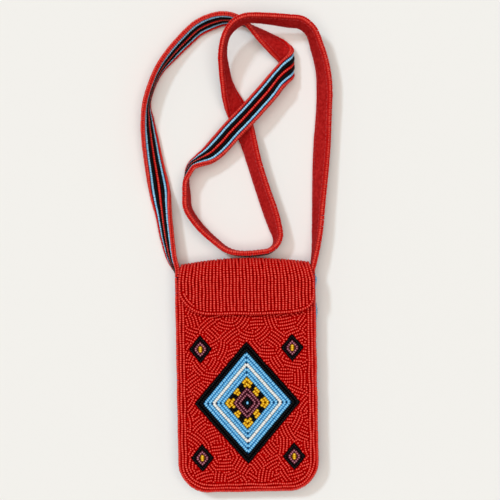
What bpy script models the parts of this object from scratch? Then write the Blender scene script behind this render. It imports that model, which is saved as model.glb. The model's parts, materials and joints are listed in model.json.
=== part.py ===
"""Phone crossbody bag: a slim bead-covered pouch with a fold-over flap and a long beaded strap.

The pouch lies on its back. X runs across it, Y runs from its bottom to its flap, Z is up.
The origin is under the middle of the pouch, on the surface that it lies on. Units are metres.
"""

import math

import bmesh
import bpy
from mathutils import Matrix, Vector

# Pouch outline
POUCH_WIDTH = 0.1084
POUCH_BOTTOM_Y = -0.0905
FOLD_CREST_Y = 0.0905
CORNER_RADIUS = 0.0230
MOUTH_Y = 0.0760

# Cloth, beads and the slack between them
BEAD_LAYER = 0.0022
CANVAS = 0.0008
LINING = 0.0004
RIBBON = 0.0014
GAP = 0.0003
BEAD_ROW = 0.0025
WASHER_SLOT = 0.0010
REST_GAP = 0.0002

# Striped band that is the gusset and then the strap
BAND_ROWS = 7
BAND_WIDTH = BAND_ROWS * BEAD_ROW
BAND_SLACK = 0.0004
BAND_THICKNESS = BEAD_LAYER + BAND_SLACK + RIBBON

# Flap
FLAP_TIP_Y = 0.0468
FLAP_SIDE_INSET = 0.0012
FLAP_HALF_WIDTH = POUCH_WIDTH / 2 - FLAP_SIDE_INSET
STRAP_SIDE_GAP = 0.0006
FOLD_HALF_WIDTH = POUCH_WIDTH / 2 - BAND_THICKNESS - STRAP_SIDE_GAP
SHOULDER = 0.0015
FLAP_CORNER_RADIUS = 0.0135
FLAP_EDGE_SAG = 0.0020
FLAP_SIDE_TOP_Y = 0.0690
FOLD_CUTS = 12

# Bindings and rows
OUTLINE_ROWS = 2
BINDING_DEPTH = 0.0041
BINDING_WALL = 0.0005
CANVAS_HEM = 0.0006
LINING_HEM = 0.0012
ARC_STEPS = 10

# Diamond motif on the front, in what the outline rows and the flap leave
MOTIF_SIDE_MARGIN = 0.0054
MOTIF_END_MARGIN = 0.0212
BORDER_ROWS = 2
FIELD_ROWS = 5
BLOCK_ROWS = 2
SMALL_MOTIF_HALF_WIDTH = 0.0090
SMALL_MOTIF_HALF_HEIGHT = 0.0110
SMALL_MOTIF_MARGIN = 0.0019
SMALL_MOTIF_UP = 0.0420

# Magnetic snap
SNAP_Y = 0.0630
SNAP_RADIUS = 0.0068
SNAP_RECESS_RADIUS = 0.0032
SNAP_PLUG_RADIUS = 0.0028
SNAP_NECK_RADIUS = 0.0012
SNAP_SOCKET_HEIGHT = 0.0018
SNAP_STUD_HEIGHT = 0.0007
SNAP_PLUG_DEPTH = 0.0012
SNAP_RECESS_FLOOR = 0.0003
WASHER_RADIUS = 0.0060
WASHER = 0.0004
ROUND_SEGMENTS = 32
SHARP_ANGLE = math.radians(40)

# Heights of the layers, from the surface that the pouch lies on. The gusset's width sets how far
# the front is from the back, and the phone has what the layers leave.
BACK_CANVAS_Z = BEAD_LAYER + GAP
BACK_LINING_Z = BACK_CANVAS_Z + CANVAS + WASHER_SLOT
BAND_Z = REST_GAP
FRONT_TOP_Z = BAND_Z + BAND_WIDTH + REST_GAP
FRONT_BEADS_Z = FRONT_TOP_Z - BEAD_LAYER
FRONT_CANVAS_Z = FRONT_BEADS_Z - GAP - CANVAS
FRONT_WASHER_Z = FRONT_CANVAS_Z - GAP - WASHER
FRONT_LINING_Z = FRONT_WASHER_Z - GAP - LINING
SNAP_STUD_Z = FRONT_BEADS_Z + SNAP_SOCKET_HEIGHT + GAP
FLAP_LINING_Z = SNAP_STUD_Z + SNAP_STUD_HEIGHT + GAP
FOLD_OUTER_RADIUS = (FLAP_LINING_Z + BACK_LINING_Z + LINING) / 2
FOLD_Y = FOLD_CREST_Y - FOLD_OUTER_RADIUS

# Insets from the outside of the gusset's beads
PANEL_INSET = BEAD_LAYER + GAP
RIBBON_INSET = BEAD_LAYER + GAP
LINING_INSET = RIBBON_INSET + RIBBON + GAP
FRONT_BEADS_TOP_Y = MOUTH_Y - BINDING_DEPTH - GAP
GROUND_INSET = PANEL_INSET + OUTLINE_ROWS * BEAD_ROW + GAP

# Places on the front
GROUND_HALF_WIDTH = POUCH_WIDTH / 2 - GROUND_INSET
MOTIF_Y = (POUCH_BOTTOM_Y + FLAP_TIP_Y) / 2
MOTIF_HALF_WIDTH = GROUND_HALF_WIDTH - MOTIF_SIDE_MARGIN
MOTIF_HALF_HEIGHT = (FLAP_TIP_Y - POUCH_BOTTOM_Y) / 2 - MOTIF_END_MARGIN
SMALL_MOTIF_X = GROUND_HALF_WIDTH - SMALL_MOTIF_MARGIN - SMALL_MOTIF_HALF_WIDTH

# Strap route from the left exit to the right exit, chosen by hand: the middle of the band (x, y),
# the height of its lower edge, and its roll in degrees. At roll 0 the beads face up, and at 90 the
# band stands on edge with the side that was on the left of the way along it on top. At both ends it
# carries straight on from the gusset, for a short way.
STRAP_EXIT_RUN = 0.0020
STRAP_START = (
    (-0.0532, 0.0820, 0.0000, -81),
    (-0.0562, 0.0894, 0.0000, -70),
    (-0.0595, 0.1044, 0.0000, -56),
    (-0.0633, 0.1313, 0.0000, -34),
    (-0.0653, 0.1429, 0.0000, -5),
    (-0.0675, 0.1554, 0.0000, 25),
    (-0.0699, 0.1694, 0.0000, 38),
    (-0.0718, 0.1831, 0.0000, 47),
    (-0.0734, 0.1970, 0.0000, 62),
    (-0.0740, 0.2109, 0.0000, 81),
    (-0.0702, 0.2247, 0.0000, 84),
    (-0.0633, 0.2385, 0.0000, 78),
    (-0.0553, 0.2482, 0.0000, 68),
    (-0.0433, 0.2605, 0.0000, 60),
    (-0.0313, 0.2706, 0.0000, 57),
    (-0.0228, 0.2743, 0.0000, 57),
    (-0.0148, 0.2765, 0.0000, 64),
    (-0.0071, 0.2765, 0.0000, 72),
    (-0.0001, 0.2748, 0.0000, 84),
    (0.0059, 0.2712, 0.0000, 96),
    (0.0110, 0.2673, 0.0000, 108),
    (0.0168, 0.2626, 0.0000, 124),
    (0.0260, 0.2557, 0.0000, 148),
)
STRAP_END = (
    (0.0190, 0.2167, 0.0115, 366),
    (0.0020, 0.1985, 0.0122, 368),
    (-0.0079, 0.1888, 0.0105, 368),
    (-0.0175, 0.1786, 0.0070, 372),
    (-0.0258, 0.1711, 0.0025, 392),
    (-0.0341, 0.1664, 0.0003, 418),
    (-0.0396, 0.1628, 0.0000, 430),
    (-0.0423, 0.1578, 0.0000, 437),
    (-0.0442, 0.1516, 0.0000, 450),
    (-0.0442, 0.1402, 0.0000, 459),
    (-0.0438, 0.1306, 0.0000, 461),
    (-0.0370, 0.1184, 0.0000, 460),
    (-0.0245, 0.1051, 0.0000, 457),
    (-0.0111, 0.0954, 0.0000, 453),
    (-0.0032, 0.0937, 0.0000, 449),
    (0.0102, 0.0938, 0.0000, 447),
    (0.0203, 0.0958, 0.0000, 449),
    (0.0248, 0.1004, 0.0000, 457),
    (0.0260, 0.1074, 0.0000, 470),
    (0.0246, 0.1129, 0.0000, 477),
    (0.0215, 0.1235, 0.0000, 484),
    (0.0152, 0.1432, 0.0000, 483),
    (0.0092, 0.1634, 0.0000, 484),
    (0.0039, 0.1837, 0.0000, 497),
    (-0.0008, 0.1979, 0.0000, 525),
    (-0.0049, 0.2073, 0.0003, 555),
    (-0.0091, 0.2171, 0.0010, 585),
    (-0.0116, 0.2265, 0.0030, 603),
    (-0.0131, 0.2368, 0.0065, 610),
    (-0.0139, 0.2470, 0.0105, 617),
    (-0.0130, 0.2544, 0.0140, 621),
    (-0.0100, 0.2626, 0.0170, 622),
    (-0.0035, 0.2698, 0.0184, 618),
    (0.0046, 0.2734, 0.0184, 620),
    (0.0131, 0.2738, 0.0175, 620),
    (0.0231, 0.2734, 0.0145, 617),
    (0.0370, 0.2721, 0.0110, 611),
    (0.0478, 0.2706, 0.0085, 610),
    (0.0542, 0.2654, 0.0070, 610),
    (0.0594, 0.2523, 0.0040, 603),
    (0.0637, 0.2352, 0.0020, 599),
    (0.0647, 0.2200, 0.0006, 594),
    (0.0639, 0.2026, 0.0000, 594),
    (0.0619, 0.1758, 0.0000, 588),
    (0.0598, 0.1490, 0.0000, 596),
    (0.0583, 0.1289, 0.0000, 605),
    (0.0569, 0.1089, 0.0000, 613),
    (0.0554, 0.0954, 0.0000, 622),
    (0.0536, 0.0850, 0.0000, 628),
)

# The strap folds over on itself between the two lists, round a crease that runs down the page.
STRAP_FOLD_RADIUS = 0.0050
STRAP_FOLD_START = Vector((0.0347, 0.2486, BAND_THICKNESS / 2 + GAP))
STRAP_FOLD_SLOPE = math.radians(42)
STRAP_FOLD_STATIONS = 6
STRAP_LONGEST_STEP = 0.0180
STRAP_REST_GAP = 0.0003

RED = (0.42, 0.010, 0.008, 1)
DEEP_RED = (0.30, 0.008, 0.010, 1)
LIGHT_BLUE = (0.22, 0.48, 0.72, 1)
BLACK = (0.008, 0.008, 0.009, 1)
YELLOW = (0.80, 0.52, 0.03, 1)
PLUM = (0.16, 0.045, 0.065, 1)
CANVAS_RED = (0.26, 0.012, 0.012, 1)
STEEL = (0.55, 0.54, 0.52, 1)


def clear_scene():
    """Start from an empty scene."""
    for thing in list(bpy.data.objects):
        bpy.data.objects.remove(thing, do_unlink=True)


def new_collection(name):
    """A collection linked to the scene."""
    collection = bpy.data.collections.new(name)
    bpy.context.scene.collection.children.link(collection)
    return collection


def new_material(name, colour, roughness, metallic=0.0):
    """A Principled material of one colour."""
    material = bpy.data.materials.new(name)
    material.use_nodes = True
    shader = material.node_tree.nodes["Principled BSDF"]
    shader.inputs["Base Color"].default_value = colour
    shader.inputs["Roughness"].default_value = roughness
    shader.inputs["Metallic"].default_value = metallic
    material.diffuse_color = colour
    return material


def finish(name, data, material, location=(0, 0, 0)):
    """Make the object of a sub-part and put it in the bag's collection."""
    thing = bpy.data.objects.new(name, data)
    if isinstance(data, bpy.types.Mesh) and data.polygons:
        data.shade_smooth()
        data.set_sharp_from_angle(angle=SHARP_ANGLE)
    data.materials.append(material)
    thing.location = location
    thing.parent = ROOT
    PARTS.objects.link(thing)
    return thing


def solidify(thing, thickness, side=1):
    """Give an open surface its thickness, on the side that its faces point to (1) or away (-1)."""
    shell = thing.modifiers.new("Thickness", "SOLIDIFY")
    shell.thickness = thickness
    shell.offset = side
    shell.use_even_offset = True


def arc(centre, radius, start, end, steps=ARC_STEPS):
    """Points on an arc, with its angles in degrees."""
    points = []
    for step in range(steps + 1):
        angle = math.radians(start + (end - start) * step / steps)
        points.append((centre[0] + radius * math.cos(angle), centre[1] + radius * math.sin(angle)))
    return points


def mirrored(right_half):
    """A closed outline from its right half, listed from the bottom to the top."""
    return list(right_half) + [(-x, y) for x, y in reversed(right_half)]


def panel_outline(inset, top):
    """The line down one side of the pouch, round its bottom and up the other side."""
    half = POUCH_WIDTH / 2 - inset
    bottom = POUCH_BOTTOM_Y + inset
    radius = CORNER_RADIUS - inset
    right = arc((half - radius, bottom + radius), radius, -90, 0) + [(half, top)]
    left = [(-x, y) for x, y in reversed(right)]
    return left + right


def flat_piece(name, outlines, low, thickness, material):
    """A flat sheet from closed outlines, where the first is its edge and the rest are holes."""
    curve = bpy.data.curves.new(name, "CURVE")
    curve.dimensions = "2D"
    curve.fill_mode = "BOTH"
    curve.extrude = thickness / 2
    for outline in outlines:
        spline = curve.splines.new("POLY")
        spline.points.add(len(outline) - 1)
        for point, (x, y) in zip(spline.points, outline):
            point.co = (x, y, 0, 1)
        spline.use_cyclic_u = True
    return finish(name, curve, material, (0, 0, low + thickness / 2))


def wall_piece(name, line, low, height, thickness, material):
    """An upright wall along an open line, with its thickness on the pouch's inner side."""
    mesh = bpy.data.meshes.new(name)
    form = bmesh.new()
    base = [form.verts.new((x, y, low)) for x, y in line]
    edges = [form.edges.new(pair) for pair in zip(base, base[1:])]
    raised = bmesh.ops.extrude_edge_only(form, edges=edges)["geom"]
    top = [item for item in raised if isinstance(item, bmesh.types.BMVert)]
    bmesh.ops.translate(form, verts=top, vec=(0, 0, height))
    bmesh.ops.recalc_face_normals(form, faces=form.faces)
    first = form.faces[:][0]
    if first.normal.dot(first.calc_center_median()) > 0:
        bmesh.ops.reverse_faces(form, faces=form.faces)
    form.to_mesh(mesh)
    form.free()
    thing = finish(name, mesh, material)
    solidify(thing, thickness)
    return thing


def circle(centre_y, radius):
    """A closed round outline on the pouch's centre line."""
    return arc((0, centre_y), radius, 0, 360, ROUND_SEGMENTS)[:-1]


def diamond(inset=0.0, centre=(0, MOTIF_Y), half_width=MOTIF_HALF_WIDTH, half_height=MOTIF_HALF_HEIGHT):
    """A diamond outline, drawn in by an inset from its sides."""
    to_side = half_width * half_height / math.hypot(half_width, half_height)
    share = 1 - inset / to_side
    across, up = half_width * share, half_height * share
    x, y = centre
    return [(x + across, y), (x, y + up), (x - across, y), (x, y - up)]


def small_motif_places():
    """Centres of the four small diamonds round the large one."""
    return {
        "upper_left": (-SMALL_MOTIF_X, MOTIF_Y + SMALL_MOTIF_UP),
        "upper_right": (SMALL_MOTIF_X, MOTIF_Y + SMALL_MOTIF_UP),
        "lower_left": (-SMALL_MOTIF_X, MOTIF_Y - SMALL_MOTIF_UP),
        "lower_right": (SMALL_MOTIF_X, MOTIF_Y - SMALL_MOTIF_UP),
    }


def flap_outline_half(inset):
    """The right side of the flap from its middle up to the fold, as it lies closed."""
    half = FLAP_HALF_WIDTH - inset
    tip = FLAP_TIP_Y + inset
    corner = FLAP_CORNER_RADIUS - inset
    reach = half - corner
    edge_radius = (reach**2 + FLAP_EDGE_SAG**2) / (2 * FLAP_EDGE_SAG)
    half_angle = math.degrees(math.asin(reach / edge_radius))
    edge = arc((0, tip + edge_radius), edge_radius, -90, -90 + half_angle, ARC_STEPS)
    rise = tip + FLAP_EDGE_SAG + corner
    turn = arc((reach, rise), corner, -90 + half_angle, 0, ARC_STEPS)
    return edge + turn[1:] + [(half, FLAP_SIDE_TOP_Y)]


def folded_sheet(name, radius, thickness, back_inset, flap_inset, material):
    """The back panel and the flap as one sheet, folded over the pouch's mouth.

    The sheet is laid out flat first: the back runs up to the fold, and the flap is beyond it.
    """
    turn = math.pi * FOLD_OUTER_RADIUS
    flap_start = FOLD_Y + turn
    back = panel_outline(back_inset, MOUTH_Y - SHOULDER)
    right = [point for point in back if point[0] > 0]
    right += [(FOLD_HALF_WIDTH, MOUTH_Y - GAP), (FOLD_HALF_WIDTH, flap_start + CANVAS)]
    flap = [(x, flap_start + FOLD_Y - y) for x, y in flap_outline_half(flap_inset)]
    outline = mirrored(right + flap[:0:-1])
    form = bmesh.new()
    sheet = form.faces.new([form.verts.new((x, y, 0)) for x, y in outline])
    if sheet.normal.z > 0:
        bmesh.ops.reverse_faces(form, faces=[sheet])
    for cut in range(FOLD_CUTS + 1):
        place = FOLD_Y + turn * cut / FOLD_CUTS
        every = form.verts[:] + form.edges[:] + form.faces[:]
        bmesh.ops.bisect_plane(form, geom=every, plane_co=(0, place, 0), plane_no=(0, 1, 0))
    for vertex in form.verts:
        beyond = vertex.co.y - FOLD_Y
        if beyond > turn:
            vertex.co = (vertex.co.x, FOLD_Y - (beyond - turn), FOLD_OUTER_RADIUS + radius)
        elif beyond > 0:
            angle = math.pi * beyond / turn
            along = FOLD_Y + radius * math.sin(angle)
            vertex.co = (vertex.co.x, along, FOLD_OUTER_RADIUS - radius * math.cos(angle))
        else:
            vertex.co.z = FOLD_OUTER_RADIUS - radius
    mesh = bpy.data.meshes.new(name)
    form.to_mesh(mesh)
    form.free()
    thing = finish(name, mesh, material)
    solidify(thing, thickness)
    return thing


def cut_round_hole(thing, radius, low, high):
    """Cut an upright round hole at the snap through a part."""
    bpy.ops.mesh.primitive_cylinder_add(
        vertices=ROUND_SEGMENTS, radius=radius, depth=high - low, location=(0, SNAP_Y, (low + high) / 2)
    )
    cutter = bpy.context.object
    cutter.name = thing.name + "_hole"
    cutter.hide_render = True
    cutter.display_type = "WIRE"
    for collection in list(cutter.users_collection):
        collection.objects.unlink(cutter)
    CUTTERS.objects.link(cutter)
    cut = thing.modifiers.new("Hole", "BOOLEAN")
    cut.operation = "DIFFERENCE"
    cut.object = cutter


def turned(name, profile, material):
    """A turned piece on the snap's axis, from its profile listed from the top down its outer side."""
    mesh = bpy.data.meshes.new(name)
    edges = [(index, index + 1) for index in range(len(profile) - 1)]
    mesh.from_pydata([(radius, 0, height) for radius, height in profile], edges, [])
    thing = finish(name, mesh, material, (0, SNAP_Y, 0))
    screw = thing.modifiers.new("Turn", "SCREW")
    screw.steps = ROUND_SEGMENTS
    screw.render_steps = ROUND_SEGMENTS
    screw.use_merge_vertices = True
    screw.merge_threshold = 0.00001
    return thing


def tube(name, points, radius, material):
    """A round strand along points."""
    curve = bpy.data.curves.new(name, "CURVE")
    curve.dimensions = "3D"
    curve.bevel_depth = radius
    curve.bevel_resolution = 2
    curve.use_fill_caps = True
    spline = curve.splines.new("POLY")
    spline.points.add(len(points) - 1)
    for point, place in zip(spline.points, points):
        point.co = (*place, 1)
    return finish(name, curve, material)


def band_centre(x, y, rise, roll):
    """The middle of the strap's section, from the height of its lower edge and its roll."""
    angle = math.radians(roll)
    upright = BAND_WIDTH / 2 * abs(math.sin(angle))
    flat = BAND_THICKNESS / 2 * abs(math.cos(angle))
    return Vector((x, y, STRAP_REST_GAP + rise + upright + flat))


def fold_stations():
    """Stations round the strap's fold: middle, roll, slant of the crease and way along."""
    stations = []
    across, down = math.cos(STRAP_FOLD_SLOPE), math.sin(STRAP_FOLD_SLOPE)
    slant = down / across
    for step in range(STRAP_FOLD_STATIONS + 1):
        angle = math.pi * step / STRAP_FOLD_STATIONS
        place = STRAP_FOLD_START + Vector((
            STRAP_FOLD_RADIUS * math.sin(angle),
            -STRAP_FOLD_RADIUS * angle * slant,
            STRAP_FOLD_RADIUS * (1 - math.cos(angle)),
        ))
        way = Vector((across * math.cos(angle), -down, across * math.sin(angle)))
        side = Vector((0, 0, 1)).cross(way).normalized()
        face = Vector((math.sin(angle), 0, -math.cos(angle)))
        roll = math.degrees(math.atan2(-face.dot(side), face.dot(way.cross(side))))
        stations.append((place, roll % 360, slant, way))
    stations[0] = (stations[0][0], 180.0, slant, stations[0][3])
    stations[-1] = (stations[-1][0], 360.0, slant, stations[-1][3])
    return stations


def strap_stations():
    """All stations of the strap: middle, roll, slant and, where it is set, the way along."""
    start = [(band_centre(*row), float(row[3]), 0.0, None) for row in STRAP_START]
    end = [(band_centre(*row), float(row[3]), 0.0, None) for row in STRAP_END]
    exit_x, exit_y = (POUCH_WIDTH - BAND_THICKNESS) / 2, MOUTH_Y + GAP
    exits = []
    for side, roll in ((-1, -90.0), (1, 630.0)):
        for run in (0, STRAP_EXIT_RUN):
            place = Vector((side * exit_x, exit_y + run, BAND_Z + BAND_WIDTH / 2))
            exits.append((place, roll, 0.0, Vector((0, -side, 0))))
    return exits[:2] + start + fold_stations() + end + exits[:1:-1]


def smooth_value(values, knots, index, share):
    """One value between stations, on a smooth curve through all of them."""
    def slope(at):
        if at == 0:
            return (values[1] - values[0]) / (knots[1] - knots[0])
        if at == len(values) - 1:
            return (values[-1] - values[-2]) / (knots[-1] - knots[-2])
        before, after = knots[at] - knots[at - 1], knots[at + 1] - knots[at]
        rise_before = (values[at] - values[at - 1]) / before
        rise_after = (values[at + 1] - values[at]) / after
        return (rise_before * after + rise_after * before) / (before + after)

    span = knots[index + 1] - knots[index]
    cube, square = share**3, share**2
    return (
        values[index] * (2 * cube - 3 * square + 1)
        + slope(index) * span * (cube - 2 * square + share)
        + values[index + 1] * (3 * square - 2 * cube)
        + slope(index + 1) * span * (cube - square)
    )


def strap_sections():
    """Sections of the strap from end to end: middle, direction across, face direction."""
    stations = strap_stations()
    knots = [0.0]
    for before, after in zip(stations, stations[1:]):
        knots.append(knots[-1] + (after[0] - before[0]).length)
    places = [station[0] for station in stations]
    rolls = [station[1] for station in stations]
    slants = [station[2] for station in stations]
    samples = []
    for index in range(len(stations) - 1):
        pieces = max(1, math.ceil((knots[index + 1] - knots[index]) / STRAP_LONGEST_STEP))
        samples += [(index, piece / pieces) for piece in range(pieces)]
    samples.append((len(stations) - 2, 1.0))
    middles = [smooth_value(places, knots, *sample) for sample in samples]
    sections = []
    for number, sample in enumerate(samples):
        before = middles[max(number - 1, 0)]
        after = middles[min(number + 1, len(middles) - 1)]
        way = stations[sample[0] + int(sample[1])][3] if sample[1] in (0, 1) else None
        way = way or (after - before).normalized()
        roll = math.radians(smooth_value(rolls, knots, *sample))
        slant = smooth_value(slants, knots, *sample)
        side = Vector((0, 0, 1)).cross(way).normalized()
        rise = way.cross(side)
        across = math.cos(roll) * side + math.sin(roll) * rise
        face = math.cos(roll) * rise - math.sin(roll) * side
        sections.append((middles[number], across + slant * way, face))
    return sections


def strap_piece(name, height, thickness, side, material):
    """A band along the strap, from a height over its middle to the face side (1) or the other (-1)."""
    form = bmesh.new()
    rails = [], []
    for middle, across, face in strap_sections():
        for rail, edge in zip(rails, (1, -1)):
            rail.append(form.verts.new(middle + across * edge * BAND_WIDTH / 2 + face * height))
    for rail in rails:
        for pair in zip(rail, rail[1:]):
            form.edges.new(pair)
    strip = bmesh.ops.bridge_loops(form, edges=form.edges[:])["faces"]
    form.normal_update()
    if rails[0][0].link_faces[0].normal.dot(strap_sections()[0][2]) < 0:
        bmesh.ops.reverse_faces(form, faces=strip)
    bmesh.ops.triangulate(form, faces=strip, quad_method="FIXED")
    mesh = bpy.data.meshes.new(name)
    form.to_mesh(mesh)
    form.free()
    thing = finish(name, mesh, material)
    solidify(thing, thickness, side)
    return thing


def make_back_and_flap():
    """The back panel with the flap: beads, canvas and lining, each one folded sheet."""
    beads_inset = BEAD_LAYER + GAP
    folded_sheet(
        "back_and_flap_beadwork", FOLD_OUTER_RADIUS, BEAD_LAYER, PANEL_INSET, beads_inset, RED_BEADS
    )
    radius = FOLD_OUTER_RADIUS - BEAD_LAYER - GAP
    folded_sheet("back_and_flap_canvas", radius, CANVAS, PANEL_INSET, CANVAS_HEM, CANVAS_CLOTH)
    radius -= CANVAS + WASHER_SLOT
    lining = folded_sheet(
        "back_and_flap_lining", radius, LINING, LINING_INSET, LINING_HEM, LINING_CLOTH
    )
    low = FLAP_LINING_Z - GAP / 2
    cut_round_hole(lining, SNAP_NECK_RADIUS + GAP, low, low + LINING + GAP)


def make_flap_rim():
    """The strand of beads sewn along the flap's free edge."""
    radius = BEAD_LAYER / 2
    height = 2 * FOLD_OUTER_RADIUS - radius
    half = flap_outline_half(radius)
    line = [(-x, y) for x, y in reversed(half)] + half[1:]
    tube("flap_rim_beads", [(x, y, height) for x, y in line], radius, RED_BEADS)


def make_gusset():
    """The striped band round the pouch's sides and bottom, with its ribbon inside."""
    wall_piece("gusset_beadwork", panel_outline(0, MOUTH_Y), BAND_Z, BAND_WIDTH, BEAD_LAYER, RED_BEADS)
    ribbon_low = BACK_CANVAS_Z + CANVAS + GAP
    ribbon_height = FRONT_CANVAS_Z - GAP - ribbon_low
    line = panel_outline(RIBBON_INSET, MOUTH_Y)
    wall_piece("gusset_ribbon", line, ribbon_low, ribbon_height, RIBBON, RIBBON_CLOTH)


def make_front():
    """The front panel: beads round the motif, canvas and lining."""
    hole = circle(SNAP_Y, SNAP_RADIUS + GAP)
    neck_hole = circle(SNAP_Y, SNAP_NECK_RADIUS + GAP)
    windows = [diamond(-GAP), hole]
    for centre in small_motif_places().values():
        windows.append(diamond(-GAP, centre, SMALL_MOTIF_HALF_WIDTH, SMALL_MOTIF_HALF_HEIGHT))
    ground = panel_outline(GROUND_INSET, FRONT_BEADS_TOP_Y)
    flat_piece("front_beadwork", [ground] + windows, FRONT_BEADS_Z, BEAD_LAYER, RED_BEADS)
    outer = panel_outline(PANEL_INSET, FRONT_BEADS_TOP_Y)
    inner = panel_outline(PANEL_INSET + OUTLINE_ROWS * BEAD_ROW, FRONT_BEADS_TOP_Y)
    outline = outer + inner[::-1]
    flat_piece("front_outline_beads", [outline], FRONT_BEADS_Z, BEAD_LAYER, RED_BEADS)
    cloth_top = MOUTH_Y - BINDING_WALL - GAP
    edge = panel_outline(PANEL_INSET, cloth_top)
    flat_piece("front_canvas", [edge, neck_hole], FRONT_CANVAS_Z, CANVAS, CANVAS_CLOTH)
    lining_edge = panel_outline(LINING_INSET, cloth_top)
    flat_piece("front_lining", [lining_edge], FRONT_LINING_Z, LINING, LINING_CLOTH)


def make_motif():
    """The diamond on the front, as rings of beads sewn inside each other, and four small ones."""
    rows = 0
    rings = (
        ("motif_border", BORDER_ROWS, BLACK_BEADS),
        ("motif_field", FIELD_ROWS, BLUE_BEADS),
        ("motif_blocks", BLOCK_ROWS, YELLOW_BEADS),
    )
    for name, count, material in rings:
        outer = diamond(rows * BEAD_ROW)
        rows += count
        inner = diamond(rows * BEAD_ROW - GAP)
        flat_piece(name, [outer, inner], FRONT_BEADS_Z, BEAD_LAYER, material)
    flat_piece("motif_heart", [diamond(rows * BEAD_ROW)], FRONT_BEADS_Z, BEAD_LAYER, PLUM_BEADS)
    for place, centre in small_motif_places().items():
        outline = diamond(0, centre, SMALL_MOTIF_HALF_WIDTH, SMALL_MOTIF_HALF_HEIGHT)
        flat_piece("small_motif_" + place, [outline], FRONT_BEADS_Z, BEAD_LAYER, PLUM_BEADS)


def make_mouth_binding():
    """The folded strip over the top edge of the front panel's canvas and lining."""
    low = FRONT_LINING_Z - GAP - BINDING_WALL
    high = FRONT_CANVAS_Z + CANVAS + GAP + BINDING_WALL
    top = MOUTH_Y
    bottom = MOUTH_Y - BINDING_DEPTH
    wall = BINDING_WALL
    section = [
        (bottom, low), (top, low), (top, high), (bottom, high),
        (bottom, high - wall), (top - wall, high - wall), (top - wall, low + wall), (bottom, low + wall),
    ]
    curve = bpy.data.curves.new("mouth_binding", "CURVE")
    curve.dimensions = "2D"
    curve.fill_mode = "BOTH"
    curve.extrude = FOLD_HALF_WIDTH
    spline = curve.splines.new("POLY")
    spline.points.add(len(section) - 1)
    for point, (y, z) in zip(spline.points, section):
        point.co = (y, z, 0, 1)
    spline.use_cyclic_u = True
    thing = finish("mouth_binding", curve, RIBBON_CLOTH)
    thing.rotation_euler = Matrix(((0, 0, 1), (1, 0, 0), (0, 1, 0))).to_euler()


def make_snap():
    """The magnetic snap: socket on the front, stud in the flap, and the washer behind each."""
    top = FRONT_BEADS_Z + SNAP_SOCKET_HEIGHT
    floor = FRONT_BEADS_Z + SNAP_RECESS_FLOOR
    turned("snap_socket", [
        (0, floor), (SNAP_RECESS_RADIUS, floor), (SNAP_RECESS_RADIUS, top), (SNAP_RADIUS, top),
        (SNAP_RADIUS, FRONT_BEADS_Z), (SNAP_NECK_RADIUS, FRONT_BEADS_Z),
        (SNAP_NECK_RADIUS, FRONT_WASHER_Z), (0, FRONT_WASHER_Z),
    ], METAL)
    stud_top = SNAP_STUD_Z + SNAP_STUD_HEIGHT
    neck_top = FLAP_LINING_Z + LINING + GAP + WASHER
    turned("snap_stud", [
        (0, neck_top), (SNAP_NECK_RADIUS, neck_top), (SNAP_NECK_RADIUS, stud_top),
        (SNAP_RADIUS, stud_top), (SNAP_RADIUS, SNAP_STUD_Z), (SNAP_PLUG_RADIUS, SNAP_STUD_Z),
        (SNAP_PLUG_RADIUS, SNAP_STUD_Z - SNAP_PLUG_DEPTH), (0, SNAP_STUD_Z - SNAP_PLUG_DEPTH),
    ], METAL)
    bore = circle(SNAP_Y, SNAP_NECK_RADIUS + GAP)
    rim = circle(SNAP_Y, WASHER_RADIUS)
    flat_piece("snap_socket_washer", [rim, bore], FRONT_WASHER_Z, WASHER, METAL)
    flat_piece("snap_stud_washer", [rim, bore], FLAP_LINING_Z + LINING + GAP, WASHER, METAL)


def make_strap():
    """The long strap: beads on one face, ribbon on the other."""
    strap_piece("strap_beadwork", BAND_THICKNESS / 2 - BEAD_LAYER, BEAD_LAYER, 1, RED_BEADS)
    strap_piece("strap_ribbon", RIBBON - BAND_THICKNESS / 2, RIBBON, -1, RIBBON_CLOTH)


clear_scene()
PARTS = new_collection("phone_crossbody_bag")
CUTTERS = new_collection("cutters")
ROOT = bpy.data.objects.new("bag", None)
PARTS.objects.link(ROOT)

RED_BEADS = new_material("red glass beads", RED, 0.25)
BLACK_BEADS = new_material("black glass beads", BLACK, 0.25)
BLUE_BEADS = new_material("light blue glass beads", LIGHT_BLUE, 0.25)
YELLOW_BEADS = new_material("yellow glass beads", YELLOW, 0.25)
PLUM_BEADS = new_material("plum glass beads", PLUM, 0.25)
CANVAS_CLOTH = new_material("red canvas", CANVAS_RED, 0.9)
LINING_CLOTH = new_material("red lining", DEEP_RED, 0.7)
RIBBON_CLOTH = new_material("red woven ribbon", DEEP_RED, 0.8)
METAL = new_material("plated steel", STEEL, 0.3, 1.0)

make_back_and_flap()
make_flap_rim()
make_gusset()
make_front()
make_motif()
make_mouth_binding()
make_snap()
make_strap()
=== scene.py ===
# %% [markdown]
# # A beaded phone bag with a long striped strap
#
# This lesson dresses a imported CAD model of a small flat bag. The bag is sewn from red cloth and
# covered with short glass beads on threads. Its flap folds over from the back, a narrow striped
# band runs round its sides, and the same band goes on as a long strap that lies on the table.
#
# Every number is in metres, in the frame of the CAD model: x to the right, y up the page, and z
# towards the camera. The bag lies on its back on the table, and the table is at z = 0.

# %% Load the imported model
import json
import math

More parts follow.
